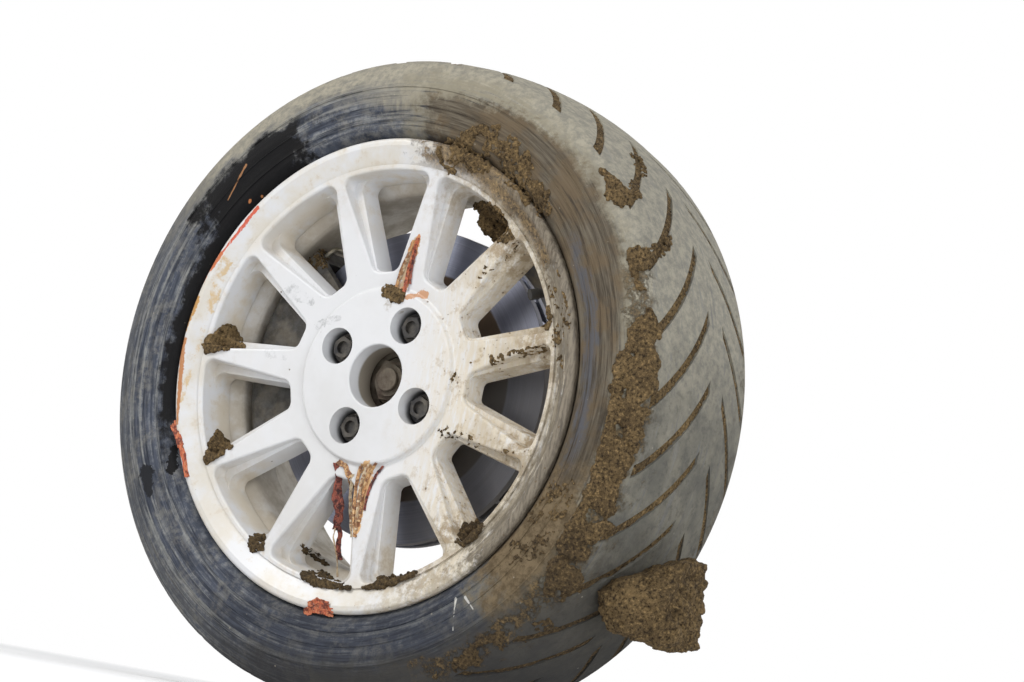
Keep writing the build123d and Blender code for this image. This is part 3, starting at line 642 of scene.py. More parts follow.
def make_wheel_paint(trees):
    """Satin white paint, stained with earth on the rear side, worn on the lip, scraped on the spokes"""
    material, tree, shader = start_material("wheel_paint")
    where = use_group(tree, wheel_place)
    place, radius, depth = where["Place"], where["Radius"], where["Depth"]
    clouds = noise(place, 0.025, 6.0, 0.65)
    blots = noise(place, 0.10, 6.0, 0.72)
    broad = noise(place, 0.012, 4.0, 0.6)
    drag = noise(stretched(place, (0.30, 0.30, 0.05)), 1.0, 5.0, 0.7)
    dragged = noise(stretched(where["Around"], (5.0, 5.0, 0.30)), 1.0, 5.0, 0.7)
    ragged = times(minus(blots, 0.5), 40)
    ragged_angle = plus(where["Angle"], ragged)
    colour = blend(clouds, (0.61, 0.612, 0.62), (0.69, 0.692, 0.70))
    colour = cover(colour, (0.50, 0.49, 0.47), rise(broad, 0.46, 0.70), 0.35)
    # Cream wash over the rear half, thicker out along the spokes
    across = node(tree, "ShaderNodeSeparateXYZ", {0: place}).outputs[0]
    rear = rise(plus(across, ragged), 10, 120)
    wash = times(rear, rise(drag, 0.30, 0.58))
    colour = cover(colour, (0.60, 0.50, 0.33), wash, 0.68)
    colour = cover(colour, (0.34, 0.24, 0.13), rear, rise(blots, 0.52, 0.64), 0.62)
    colour = cover(colour, (0.21, 0.155, 0.09), rear, rise(radius, 136, 186), rise(blots, 0.40, 0.56), 0.75)
    # Yellowish and rusty stains round the rest of the lip and in the windows
    colour = cover(colour, (0.58, 0.52, 0.41), rise(radius, 176, 200), rise(clouds, 0.36, 0.60), 0.60)
    colour = cover(colour, (0.42, 0.29, 0.15), rise(radius, 168, 180), rise(blots, 0.56, 0.68), 0.22)
    colour = cover(colour, (0.60, 0.50, 0.34), rise(depth, 8, 34), rise(radius, 120, 170),
                   rise(clouds, 0.36, 0.58), 0.55)
    # Dirt and painted shade on the flanks of the spokes and in the window pockets
    more_behind = plus(0.16, times(rear, 0.84))
    colour = cover(colour, (0.40, 0.33, 0.23), between(depth, 7, 34, 5), rise(radius, 84, 150),
                   rise(clouds, 0.42, 0.60), more_behind, 0.6)
    colour = cover(colour, (0.30, 0.22, 0.13), between(radius, 158, 186, 5), rise(depth, 2, 9),
                   more_behind, rise(blots, 0.44, 0.60), 0.6)
    # The lip at the upper rear is under the smear, and worn below it
    mud = use_group(tree, earth, {"Place": place, "Wetness": 0.45})
    lip = rise(plus(radius, times(ragged, 0.4)), 190, 206)
    worn_colour = blend(rise(dragged, 0.42, 0.66), (0.070, 0.056, 0.038), (0.215, 0.18, 0.125))
    colour = cover(colour, worn_colour, between(ragged_angle, -48, 60, 6), lip,
                   rise(dragged, 0.30, 0.50), 0.95)
    smear = times(between(ragged_angle, 34, 86, 4), lip)
    colour = cover(colour, mud["Colour"], smear, 0.93)
    lip_edge = rise(plus(radius, times(ragged, 0.22)), 208.5, 213)
    film = blend(rise(drag, 0.36, 0.62), (0.085, 0.068, 0.048), (0.23, 0.195, 0.145))
    colour = cover(colour, film, lip_edge, between(ragged_angle, -42, 58, 7), 0.92)
    # The barrel behind the spokes is brown with dust and darkened deeper in with painted shade
    inside = rise(depth, 34, 66)
    barrel_dust_and_shade = blend(rise(clouds, 0.35, 0.62), (0.66, 0.61, 0.52), (0.36, 0.31, 0.24))
    colour = cover(colour, barrel_dust_and_shade, inside, 0.86)
    # Specks, closer together on the rear half
    patchy = rise(blots, 0.42, 0.62)
    amount = plus(0.08, times(rear, patchy, 0.42))
    few = use_group(tree, specks, {"Place": place, "Spacing": 10.0, "Amount": 0.12})["Mask"]
    many = use_group(tree, specks, {"Place": place, "Spacing": 3.4, "Amount": amount})["Mask"]
    spots = most(few, many)
    colour = cover(colour, (0.13, 0.085, 0.045), spots, 0.8)
    fibres = maths("ADD", 0.35, rise(drag, 0.30, 0.50), clamp=True)
    for start, finish, width, shade, *patches in paint_marks:
        strength = times(mark_mask(trees, place, start, finish, width), fibres)
        for share in patches:
            strength = times(strength, times(patchy, share))
        colour = cover(colour, shade, strength)
    # Bare grimy metal deep in the bore, painted shade at the bottom of the nuts' wells
    colour = cover(colour, (0.25, 0.21, 0.155), fall(radius, 30, 33), rise(depth, 26, 30), 0.92)
    colour = cover(colour, (0.05, 0.05, 0.052), between(radius, 35, 73, 1), rise(depth, 22, 34), 0.9)
    fill(shader, {"Base Color": colour, "Roughness": plus(0.40, times(most(wash, smear, inside), 0.4))})
    add_bump(shader, plus(times(smear, mud["Height"]), times(spots, 0.5)), 0.9)
    return material


# Bare and plated metals: bright colour, dull colour, roughness, metallic, and dust
metals = {
    "dark_steel": ((0.022, 0.022, 0.024), (0.055, 0.052, 0.05), 0.38, 0.5, 0.22),
    "hub_steel": ((0.12, 0.10, 0.075), (0.055, 0.036, 0.024), 0.65, 0.4, 0.25),
    "bright_steel": ((0.55, 0.55, 0.56), (0.42, 0.42, 0.42), 0.3, 0.95, 0.1),
    "knuckle_iron": ((0.10, 0.10, 0.105), (0.17, 0.14, 0.10), 0.7, 0.3, 0.6),
    "zinc_bolts": ((0.45, 0.43, 0.36), (0.30, 0.27, 0.20), 0.45, 0.8, 0.4),
    "caliper_alloy": ((0.075, 0.073, 0.070), (0.036, 0.032, 0.027), 0.65, 0.3, 0.22),
    "pad_material": ((0.06, 0.055, 0.05), (0.12, 0.09, 0.07), 0.8, 0.2, 0.4),
}
# Torn paint and plastic: main, pale and dark colour
torn_colours = {
    "torn_paint": ((0.52, 0.25, 0.09), (0.66, 0.46, 0.24), (0.18, 0.075, 0.035)),
    "torn_pale": ((0.60, 0.45, 0.27), (0.70, 0.60, 0.44), (0.30, 0.15, 0.07)),
    "torn_orange": ((0.50, 0.10, 0.04), (0.60, 0.24, 0.11), (0.16, 0.035, 0.02)),
    "torn_red": ((0.21, 0.040, 0.028), (0.38, 0.12, 0.07), (0.04, 0.008, 0.008)),
}


def make_metal(name, bright, dull, roughness, metallic, dust):
    """Bare or plated metal, stained, with a film of dust"""
    material, tree, shader = start_material(name)
    place = use_group(tree, wheel_place)["Place"]
    colour = blend(rise(noise(place, 0.08, 6.0, 0.65), 0.35, 0.65), bright, dull)
    film = times(rise(noise(place, 0.035, 5.0, 0.7), 0.42, 0.66), dust)
    fill(shader, {
        "Base Color": cover(colour, (0.36, 0.31, 0.23), film),
        "Metallic": times(fall(film, 0.0, 0.8), metallic),
        "Roughness": plus(roughness, times(film, 0.4)),
    })
    add_bump(shader, noise(place, 1.2, 3.0), 0.15)
    return material


def make_disc_iron():
    """Swept faces turned bright with fine rings, the hat brown with rust"""
    material, tree, shader = start_material("disc_iron")
    where = use_group(tree, wheel_place)
    rings = noise(stretched(where["Around"], (0.4, 0.4, 0.9)), 1.0, 3.0, 0.7)
    swept = between(where["Radius"], 108, 148, 1.5)
    steel = blend(rings, (0.24, 0.255, 0.33), (0.48, 0.505, 0.62))
    rust = blend(noise(where["Place"], 0.05, 5.0, 0.6), (0.045, 0.030, 0.020), (0.12, 0.080, 0.050))
    film = times(between(where["Angle"], -80, 22, 14), 0.75)
    fill(shader, {
        "Base Color": cover(cover(rust, steel, swept), (0.11, 0.105, 0.10), film),
        "Metallic": times(swept, minus(0.9, film)),
        "Roughness": fall(times(swept, 0.6), 0.0, 1.0),
    })
    add_bump(shader, rings, 0.12)
    return material


def make_dry_earth():
    """Broken earth, with painted shade under the wheel"""
    material, tree, shader = start_material("caked_earth")
    where = use_group(tree, wheel_place)
    mud = use_group(tree, earth, {"Place": where["Place"], "Wetness": 0.5})
    # Painted shade on the earth under the wheel
    painted_shade_under = most(between(where["Angle"], -150, -26, 12), rise(where["Angle"], 205, 225))
    colour = cover(mud["Colour"], (0.028, 0.021, 0.014), painted_shade_under, fall(where["Radius"], 300, 312), 0.45)
    fill(shader, {"Base Color": colour, "Roughness": 0.95, "Specular IOR Level": 0.25})
    add_bump(shader, mud["Height"], 2.2)
    return material


def make_torn_material(name, main, pale, dark):
    """Torn fibres, pale in places and dark in blots"""
    material, tree, shader = start_material(name)
    place = use_group(tree, wheel_place)["Place"]
    fibres = noise(stretched(place, (0.9, 0.9, 0.11)), 1.0, 5.0, 0.7)
    blots = noise(place, 0.22, 5.0, 0.7)
    colour = blend(rise(fibres, 0.44, 0.60), main, pale)
    fill(shader, {"Base Color": cover(colour, dark, fall(blots, 0.43, 0.55)), "Roughness": 0.65})
    add_bump(shader, fibres, 1.2)
    return material


# Tyre

# Outside of the tyre's section from the crown to the bead: radius, half width, corner radius
section = tyre_r - flange_r + 17.3
section_outside = [
    (tyre_r, 28, 300),
    (tyre_r - 9, 84, 20),
    (tyre_r - 0.39 * section, tyre_half, 0.41 * section),
    (flange_r + 0.08 * section, tyre_half - 6, 0.09 * section),
    (flange_r - 0.7, 83.6, 1.5),
    (flange_r - 7, 82.2, 0),
    (flange_r - 17.1, 82.2, 5),
    (flange_r - 19, 62, 0),
]
section_inside = [
    (flange_r - 5, 66, 6),
    (tyre_r - 19.5 - 0.23 * section, tyre_half - 10.5, 0.2 * section),
    (tyre_r - 19.5, 78, 0.12 * section),
    (tyre_r - 15.5, 28, 0),
]
# Raised rings moulded on the sidewall: radius, height and width
sidewall_rings = [(236.5, 0.9, 2.2), (250, 0.7, 1.6), (268, 1.0, 2.4)]
pitch = 12.0
pitch_columns = 5
outer_groove_phase = 6.4
outer_groove_column = 0
inner_groove_column = 2
groove_depth = 4.0
# Depths below the crown that the tread's cuts and grooves are limited to
cut_band = 15
groove_band = 12
outer_groove_span = (-0.1, 82.0)
inner_groove_span = (24.0, 78.0)
tread_rows = [6.0, 14.0, 24.0, 33.0, 42.0, 51.0, 60.0, 69.0, 78.0, 82.0]
# How the grooves lean, in degrees for each millimetre from the middle plane
inner_lean = 0.272
outer_lean = 0.2685
outer_lean_more = 0.00065
# Widest difference of offset inside a row, and distance in metres at which the pitches merge
same_row = 0.0006
pitch_merge = 2e-5


def rounded(rows, steps=7):
    """Points of an open outline with its corners rounded by arcs"""
    points = []
    for index, (r, w, corner) in enumerate(rows):
        here = Vector((r, w))
        if corner <= 0 or index in (0, len(rows) - 1):
            points.append(here)
            continue
        to_last = (Vector(rows[index - 1][:2]) - here).normalized()
        to_next = (Vector(rows[index + 1][:2]) - here).normalized()
        half_turn = to_last.angle(to_next) / 2
        middle = here + (to_last + to_next).normalized() * corner / math.sin(half_turn)
        reach = corner / math.tan(half_turn)
        first = here + to_last * reach - middle
        last = here + to_next * reach - middle
        sweep = first.angle_signed(last)
        for step in range(steps + 1):
            spun = first.copy()
            spun.rotate(Matrix.Rotation(-sweep * step / steps, 2))
            points.append(middle + spun)
    return points


def with_rings(points):
    """The outside's points with the raised rings of the sidewall let in"""
    for ring_r, height, width in sidewall_rings:
        for index in range(len(points) - 1):
            above, below = points[index], points[index + 1]
            if above.x > ring_r >= below.x:
                share = (above.x - ring_r) / (above.x - below.x)
                w = above.y + (below.y - above.y) * share
                ring = [
                    Vector((ring_r + width / 2, w)), Vector((ring_r + width / 2 - 0.5, w + height)),
                    Vector((ring_r - width / 2 + 0.5, w + height)), Vector((ring_r - width / 2, w)),
                ]
                kept_above = [p for p in points[:index + 1] if p.x > ring_r + width / 2 + 0.2]
                kept_below = [p for p in points[index + 1:] if p.x < ring_r - width / 2 - 0.2 or p.y < w - 12]
                points = kept_above + ring + kept_below
                break
    return points


def tyre_section():
    """Whole outline of the tyre's section: radius and offset from its middle plane"""
    crown = [(tyre_r, 0, 0)] + section_outside
    outside = with_rings(rounded(crown))
    inside = rounded([section_outside[-1]] + section_inside + [(tyre_r - 15.5, 0, 0)])
    half = outside + inside[1:]
    other = [Vector((p.x, -p.y)) for p in reversed(half)]
    return half + other[1:-1]


def lean(offset):
    """How far back a groove runs, in degrees, at an offset from the middle plane"""
    if offset > 0:
        return inner_lean * offset
    return -outer_lean * offset - outer_lean_more * offset ** 2


def wheel_radius(point):
    across = point - wheel_middle
    return math.hypot(across.x, across.z) / mm


def wheel_angle(point):
    across = point - wheel_middle
    return math.degrees(math.atan2(across.z, across.x))


def make_tyre(material):
    """One pitch of the tyre, spun from its section, its grooves sunk, then repeated round the wheel"""
    column_width = pitch / pitch_columns
    start = outer_groove_phase - column_width / 2
    places = [wheel_point(p.x, mid_depth + p.y, start) for p in tyre_section()]
    tyre = draw_path("road_tyre", places + places[:1])
    bpy.ops.mesh.remove_doubles(threshold=1e-6)
    bpy.ops.mesh.spin(steps=pitch_columns, angle=math.radians(pitch), center=wheel_middle, axis=(0, 1, 0))
    for offset in [0.0] + tread_rows + [-row for row in tread_rows]:
        pick(tyre, "faces", lambda p: wheel_radius(p) > tyre_r - cut_band)
        cut = (0, wheel_middle.y + mm * (mid_depth + offset), 0)
        bpy.ops.mesh.bisect(plane_co=cut, plane_no=(0, 1, 0))

    def offset_of(point):
        return (point.y - wheel_middle.y) / mm - mid_depth

    def in_groove(point):
        offset = offset_of(point)
        column = int(((wheel_angle(point) - start) % 360) / column_width)
        if wheel_radius(point) < tyre_r - groove_band:
            return False
        if column == outer_groove_column:
            return outer_groove_span[0] < -offset < outer_groove_span[1]
        if column == inner_groove_column:
            return inner_groove_span[0] < offset < inner_groove_span[1]
        return False

    pick(tyre, "faces", in_groove)
    bpy.ops.mesh.extrude_region_shrink_fatten(TRANSFORM_OT_shrink_fatten={"value": -groove_depth * mm})
    shape = bmesh.from_edit_mesh(tyre.data)
    floor_mark = shape.faces.layers.float.new("groove_floor")
    for face in shape.faces:
        face[floor_mark] = 1.0 if face.select else 0.0
    bmesh.update_edit_mesh(tyre.data)

    # Lean each row of the section back, so that the grooves run in a curved V
    offsets = sorted({round(offset_of(v.co), 3) for v in bmesh.from_edit_mesh(tyre.data).verts})
    for offset in offsets:
        pick(tyre, "verts", lambda p: abs(offset_of(p) - offset) < same_row)
        bpy.ops.transform.rotate(
            value=math.radians(-lean(offset)), orient_axis="Y", orient_type="GLOBAL",
            center_override=wheel_middle,
        )
    leave_edit()
    bpy.ops.object.empty_add(location=(0, 0, 0))
    step = bpy.context.object
    around = Matrix.Translation(wheel_middle) @ Matrix.Rotation(math.radians(pitch), 4, "Y")
    step.matrix_world = around @ Matrix.Translation(-wheel_middle)
    bpy.context.view_layer.update()
    modify(
        tyre, "ARRAY", count=round(360 / pitch), use_relative_offset=False, use_object_offset=True,
        offset_object=step, use_merge_vertices=True, use_merge_vertices_cap=True,
        merge_threshold=pitch_merge,
    )
    bpy.data.objects.remove(step)
    edit(tyre)
    face_outwards(merged=pitch_merge)
    leave_edit()
    smooth(tyre, 32)
    paint(tyre, material)
    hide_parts("tyre")
    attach(tyre, "wheel")
    return tyre


# Earth packed in the grooves

packed_cuts = 3
packed_depth = 2.3
packed_swell = 0.35
packed_heaps = 4.2
packed_rough = 3.0


def make_groove_mud(tyre, material):
    """Crumbly earth that fills the grooves, taken from their floors and swollen"""
    only(tyre)
    bpy.ops.object.duplicate()
    mud = bpy.context.object
    mud.name = "groove_mud"
    edit(mud)
    bpy.ops.mesh.select_mode(type="FACE")
    shape = bmesh.from_edit_mesh(mud.data)
    floor_mark = shape.faces.layers.float["groove_floor"]
    for face in shape.faces:
        face.select = face[floor_mark] < 0.5
    bmesh.update_edit_mesh(mud.data)
    bpy.ops.mesh.delete(type="FACE")
    bpy.ops.mesh.select_all(action="SELECT")
    bpy.ops.mesh.subdivide(number_cuts=packed_cuts)
    bpy.ops.mesh.extrude_region_shrink_fatten(TRANSFORM_OT_shrink_fatten={"value": packed_depth * mm})
    face_outwards()
    bpy.ops.transform.shrink_fatten(value=packed_swell * mm)
    leave_edit()
    roughen(mud, "heaps", packed_heaps, 0.55)
    roughen(mud, "crumbs", packed_rough)
    smooth(mud, 50)
    paint(mud, material)
    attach(mud, "wheel")


# Crumbs and clods of earth on the wheel and the brake

# Each patch is outlined by pixels of the photograph: outline, clods, crumbs, size of a clod in
# millimetres, share that is left bare, and the pieces that can carry it
mud_patches = {
    "shoulder_mud": (
        [(633, 324), (650, 308), (660, 330), (664, 350), (659, 363), (652, 397), (641, 425), (636, 450),
         (621, 478), (613, 501), (619, 524), (599, 537), (588, 545), (586, 558), (581, 590), (560, 602),
         (546, 593), (549, 570), (558, 547), (578, 515), (592, 482), (598, 455), (607, 427), (613, 397),
         (614, 370), (625, 350)],
        620, 4200, 4.2, 0.14, ("tyre",),
    ),
    "upper_tread_mud": (
        [(601, 168), (612, 175), (627, 188), (636, 175), (631, 153), (641, 158), (648, 175), (641, 198),
         (618, 209), (607, 202), (610, 188)],
        70, 380, 3.2, 0.2, ("tyre",),
    ),
    "middle_tread_mud": (
        [(626, 243), (647, 248), (664, 239), (673, 234), (669, 250), (650, 267), (638, 272), (638, 284),
         (648, 290), (636, 290), (630, 267)],
        70, 380, 3.0, 0.2, ("tyre",),
    ),
    "lip_mud": (
        [(436, 150), (444, 141), (470, 130), (482, 123), (507, 129), (528, 147), (535, 172), (548, 190),
         (553, 210), (545, 222), (528, 210), (515, 190), (500, 181), (485, 172), (466, 172), (447, 176),
         (438, 165)],
        230, 1500, 2.6, 0.3, ("tyre", "wheel_rim"),
    ),
    "lip_crumbs": (
        [(538, 240), (553, 250), (566, 290), (572, 330), (563, 372), (552, 352), (552, 315), (546, 280)],
        36, 420, 1.9, 0.42, ("tyre", "wheel_rim"),
    ),
    "smear_mud": (
        [(519, 500), (540, 478), (560, 470), (575, 480), (572, 505), (556, 530), (549, 553), (530, 561),
         (510, 566), (508, 548)],
        60, 800, 1.9, 0.35, ("tyre",),
    ),
    "low_shoulder_mud": (
        [(489, 634), (521, 628), (549, 618), (560, 626), (530, 641), (500, 652), (470, 668), (440, 680),
         (430, 676), (458, 655)],
        70, 620, 2.4, 0.35, ("tyre",),
    ),
    "rim_clod": (
        [(474, 205), (486, 200), (501, 210), (508, 222), (514, 238), (504, 244), (494, 240), (482, 228)],
        110, 420, 3.6, -1, ("wheel_rim",),
    ),
    "rear_spoke_clod": (
        [(538, 307), (548, 305), (551, 318), (549, 330), (541, 326)],
        26, 140, 2.6, -1, ("wheel_rim",),
    ),
    "front_clod": (
        [(202, 346), (208, 337), (217, 331), (228, 323), (237, 333), (246, 347), (228, 350), (206, 353)],
        120, 380, 3.4, -1, ("wheel_rim",),
    ),
    "front_low_clod": (
        [(204, 460), (210, 441), (217, 430), (224, 436), (232, 447), (222, 454), (208, 462)],
        70, 240, 3.0, -1, ("wheel_rim",),
    ),
    "low_front_clod": (
        [(247, 545), (254, 533), (266, 537), (264, 550), (252, 552)],
        30, 120, 2.6, -1, ("wheel_rim",),
    ),
    "low_clods": (
        [(300, 573), (312, 570), (325, 571), (331, 577), (340, 581), (350, 587), (350, 590), (330, 589),
         (312, 584), (303, 579)],
        90, 330, 2.4, -1, ("wheel_rim",),
    ),
    "low_flank_mud": (
        [(298, 542), (305, 545), (319, 553), (331, 566), (326, 566), (312, 558), (300, 550)],
        30, 170, 1.7, 0.0, ("wheel_rim",),
    ),
    "low_rear_clods": (
        [(361, 587), (375, 583), (380, 576), (388, 578), (398, 572), (408, 569), (419, 572), (412, 577),
         (396, 584), (378, 589), (363, 590)],
        80, 330, 2.3, -1, ("wheel_rim",),
    ),
    "rear_low_clod": (
        [(455, 540), (462, 526), (478, 520), (486, 524), (476, 538), (462, 548)],
        50, 190, 2.8, -1, ("wheel_rim",),
    ),
    "spoke_root_mud": (
        [(382, 286), (389, 283), (398, 287), (405, 292), (404, 301), (398, 305), (390, 300), (384, 296)],
        40, 190, 2.4, -1, ("wheel_rim",),
    ),
    "rear_spoke_crumbs": (
        [(449, 378), (460, 366), (480, 358), (512, 350), (546, 343), (548, 352), (514, 360), (484, 369),
         (462, 377), (452, 384)],
        0, 520, 1.9, 0.25, ("wheel_rim",),
    ),
    "rear_low_crumbs": (
        [(436, 430), (448, 425), (462, 432), (486, 441), (510, 449), (530, 460), (526, 466), (504, 456),
         (478, 449), (456, 440), (440, 436)],
        0, 300, 1.8, 0.35, ("wheel_rim",),
    ),
    "upper_spoke_crumbs": (
        [(462, 282), (480, 268), (508, 246), (528, 233), (526, 244), (504, 262), (478, 282), (466, 290)],
        0, 210, 1.7, 0.4, ("wheel_rim",),
    ),
    "caliper_mud": (
        [(303, 262), (309, 250), (322, 248), (331, 256), (328, 268), (314, 272)],
        0, 420, 1.9, -1, ("caliper_outer",),
    ),
}
# The big clod behind the tyre: its outline in the photograph, its middle on the wheel and in pixels,
# its half size in pixels, how far it reaches along the view, and where it ends, in metres
big_clod_outline = [
    (604, 592), (622, 580), (650, 574), (672, 566), (692, 561), (702, 568), (697, 580), (706, 590),
    (700, 604), (707, 617), (699, 630), (702, 642), (690, 650), (662, 648), (652, 640), (616, 630),
    (606, 610),
]
big_clod_middle = (312, 62, -34)
big_clod_pixel = (655, 606)
big_clod_half = (54, 47)
big_clod_reach = 34
big_clod_limit = 0.317
big_clod_clods = 4200
big_clod_crumbs = 1500
big_clod_voxel = 1.6
big_clod_rough = 2.8
crumb_voxel = 1.15
crumb_rough = 3.0
# Heaps that hang from the edge of a window, and how far behind that edge, in millimetres
hanging = {"rim_clod": 12}


def inside_outline(x, y, outline):
    crossings = False
    for (x1, y1), (x2, y2) in zip(outline, outline[1:] + outline[:1]):
        if (y1 > y) != (y2 > y) and x < (x2 - x1) * (y - y1) / (y2 - y1) + x1:
            crossings = not crossings
    return crossings


def random_pixel(outline):
    """Random place inside an outline of pixels"""
    across = [x for x, y in outline]
    down = [y for x, y in outline]
    while True:
        x = random.uniform(min(across), max(across))
        y = random.uniform(min(down), max(down))
        if inside_outline(x, y, outline):
            return x, y


def surface_trees(pieces):
    """Search tree of each carrier's surface"""
    settled = bpy.context.evaluated_depsgraph_get()
    return [BVHTree.FromObject(piece, settled) for piece in pieces]


def seen_surface(trees, x, y):
    """Nearest place and normal that the camera sees through a pixel"""
    eye = camera_place()
    ray = pixel_ray(x, y)
    hits = [tree.ray_cast(eye, ray) for tree in trees]
    hits = [(distance, place, normal) for place, normal, index, distance in hits if place is not None]
    if not hits:
        return None
    distance, place, normal = min(hits, key=lambda hit: hit[0])
    return place, -normal if normal.dot(ray) > 0 else normal


def make_crumb():
    """Rough crumb of earth with a radius of one, to be copied"""
    deselect_all()
    bpy.ops.mesh.primitive_ico_sphere_add(subdivisions=2, radius=1, location=(0, 0, 0))
    crumb = bpy.context.object
    crumb.name = "earth_crumb"
    bpy.ops.object.mode_set(mode="EDIT")
    bpy.ops.mesh.select_all(action="SELECT")
    bpy.ops.transform.vertex_random(offset=0.22, uniform=0.5, seed=3)
    leave_edit()
    return crumb


def place_crumb(crumb, place, normal, size, flat):
    """Own copy of the crumb, turned about the normal of what it lies on"""
    copy = bpy.data.objects.new("earth_crumb", crumb.data.copy())
    bpy.context.collection.objects.link(copy)
    turned = normal.to_track_quat("Z", "Y").to_matrix().to_4x4()
    spun = Matrix.Rotation(random.uniform(0, 2 * math.pi), 4, "Z")
    grown = Matrix.Diagonal((
        size * mm * random.uniform(0.8, 1.3), size * mm * random.uniform(0.8, 1.3), size * mm * flat, 1))
    copy.matrix_world = Matrix.Translation(place) @ turned @ spun @ grown
    return copy


def join_pieces(name, pieces):
    deselect_all()
    for piece in pieces:
        piece.select_set(True)
    bpy.context.view_layer.objects.active = pieces[0]
    bpy.ops.object.join()
    joined = bpy.context.object
    joined.name = name
    settle(joined)
    return joined


def break_up(mud, material, voxel, rough):
    """Melt a heap of crumbs into one closed skin and roughen it, both in millimetres"""
    modify(mud, "REMESH", mode="VOXEL", voxel_size=voxel * mm)
    roughen(mud, "grains", rough)
    smooth(mud, 50)
    paint(mud, material)


def bare_here(x, y, share):
    """Holes and islands in a patch of earth, about twenty pixels across"""
    return earth_noise.noise(Vector((x / 17, y / 17, 0.5))) * 0.5 + 0.5 < 0.28 + share * 0.6


def hang_down(found, x, y, edge, behind):
    """Place beside the edge of a window where the camera sees nothing near, or the place found"""
    right, up, back = photo_axes()
    eye = camera_place()
    ray = pixel_ray(x, y)
    reach = edge + (behind + random.uniform(-5, 5)) * mm
    if found and (found[0] - eye).dot(back) < reach + 0.02:
        return found
    return eye + ray * (reach / ray.dot(back)), -ray


def make_mud_patch(name, crumb, carriers, material):
    """Heap of clods and crumbs on what the camera sees through an outline of pixels"""
    outline, clods, crumbs, size, bare, carried_by = mud_patches[name]
    trees = surface_trees([carriers[label] for label in carried_by])
    hits = [hit for hit in (seen_surface(trees, *pixel) for pixel in outline) if hit]
    edge = min((hit[0] - camera_place()).dot(photo_axes()[2]) for hit in hits)
    heap = []
    for clod in range(clods):
        x, y = random_pixel(outline)
        found = seen_surface(trees, x, y)
        if name in hanging:
            found = hang_down(found, x, y, edge, hanging[name])
        if found and not bare_here(x, y, bare):
            heap.append(place_crumb(crumb, *found, size * random.uniform(0.6, 1.25), 0.62))
    if heap:
        heap = [join_pieces(name, heap)]
        trees += surface_trees(heap)
    for number in range(crumbs):
        x, y = random_pixel(outline)
        found = seen_surface(trees, x, y)
        if found and not bare_here(x, y, bare * 0.8):
            heap.append(place_crumb(crumb, *found, size * random.uniform(0.22, 0.6), 0.9))
    mud = join_pieces(name, heap)
    break_up(mud, material, crumb_voxel, crumb_rough)
    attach(mud, "upright" if "caliper_outer" in carried_by else "wheel")


def make_big_clod(crumb, material):
    """Clod of turned-up earth stuck to the rear of the tread"""
    right, up, back = photo_axes()
    eye = camera_place()
    away = (wheel_point(*big_clod_middle) - eye).dot(back)
    heap = []
    for number in range(big_clod_clods):
        x, y = random_pixel(big_clod_outline)
        ray = pixel_ray(x, y)
        out = max(
            abs(x - big_clod_pixel[0]) / big_clod_half[0],
            abs(y - big_clod_pixel[1]) / big_clod_half[1],
        )
        thick = big_clod_reach * mm * (0.3 + 0.7 * max(0, 1 - out * out))
        place = eye + ray * (away / ray.dot(back)) + back * random.uniform(-1, 1) * thick
        if place.x > big_clod_limit:
            continue
        size = random.choice((3.0, 4.0, 5.5, 7.5)) * random.uniform(0.8, 1.2)
        heap.append(place_crumb(crumb, place, up, size, 0.55))
    heap = [join_pieces("big_clod", heap)]
    trees = surface_trees(heap)
    for number in range(big_clod_crumbs):
        found = seen_surface(trees, *random_pixel(big_clod_outline))
        if found and found[0].x < big_clod_limit:
            heap.append(place_crumb(crumb, *found, random.uniform(1.1, 2.8), 0.9))
    mud = join_pieces("big_clod", heap)
    break_up(mud, material, big_clod_voxel, big_clod_rough)
    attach(mud, "wheel")


# Torn paint and plastic

# Path in pixels of the photograph, width in millimetres, material, and whether it lies on the rim
shreds = {
    "upper_peel_1": ([(414, 240), (408, 256), (400, 274), (396, 288)], 3.2, "torn_paint", True),
    "upper_peel_2": ([(418, 238), (413, 256), (407, 276), (404, 292)], 3.2, "torn_orange", True),
    "upper_peel_3": ([(410, 252), (403, 270), (397, 286)], 2.6, "torn_pale", True),
    "upper_peel_4": ([(416, 250), (412, 266), (410, 284)], 2.0, "torn_red", True),
    "lower_peel_1": ([(353, 474), (350, 498), (351, 518), (352, 537)], 3.0, "torn_pale", True),
    "lower_peel_2": ([(361, 466), (356, 486), (354, 512), (355, 537)], 3.2, "torn_paint", True),
    "lower_peel_3": ([(368, 464), (362, 480), (358, 504), (356, 530)], 3.0, "torn_pale", True),
    "lower_peel_4": ([(376, 463), (369, 474), (363, 494), (359, 522)], 3.2, "torn_paint", True),
    "lower_peel_5": ([(383, 466), (376, 475), (368, 492), (364, 510)], 2.4, "torn_red", True),
    "root_peel": ([(338, 461), (345, 466), (350, 477), (352, 486)], 5.0, "torn_paint", True),
    "red_shred": ([(337, 463), (339, 478), (335, 496), (339, 514), (336, 530)], 7.0, "torn_red", False),
    "red_shred_low": ([(336, 516), (340, 534), (338, 548), (340, 560)], 4.5, "torn_red", False),
    "red_shred_side": ([(343, 466), (339, 486), (342, 506), (339, 520)], 4.0, "torn_red", False),
    "string": ([(335, 528), (333, 538), (337, 558), (337, 577)], 1.3, "torn_pale", False),
    "lip_shred": ([(174, 424), (178, 434), (181, 446)], 7.0, "torn_orange", True),
    "lip_shred_low": ([(176, 420), (180, 440), (184, 458), (187, 477)], 4.5, "torn_orange", True),
    "low_lip_shred": ([(304, 613), (312, 609), (322, 609), (333, 613)], 8.0, "torn_orange", True),
    "low_lip_shred_top": ([(308, 605), (317, 601), (329, 605)], 6.0, "torn_orange", True),
}

# Pixel of the rim's edge that the loose shreds hang from
shred_hook = (341, 452)


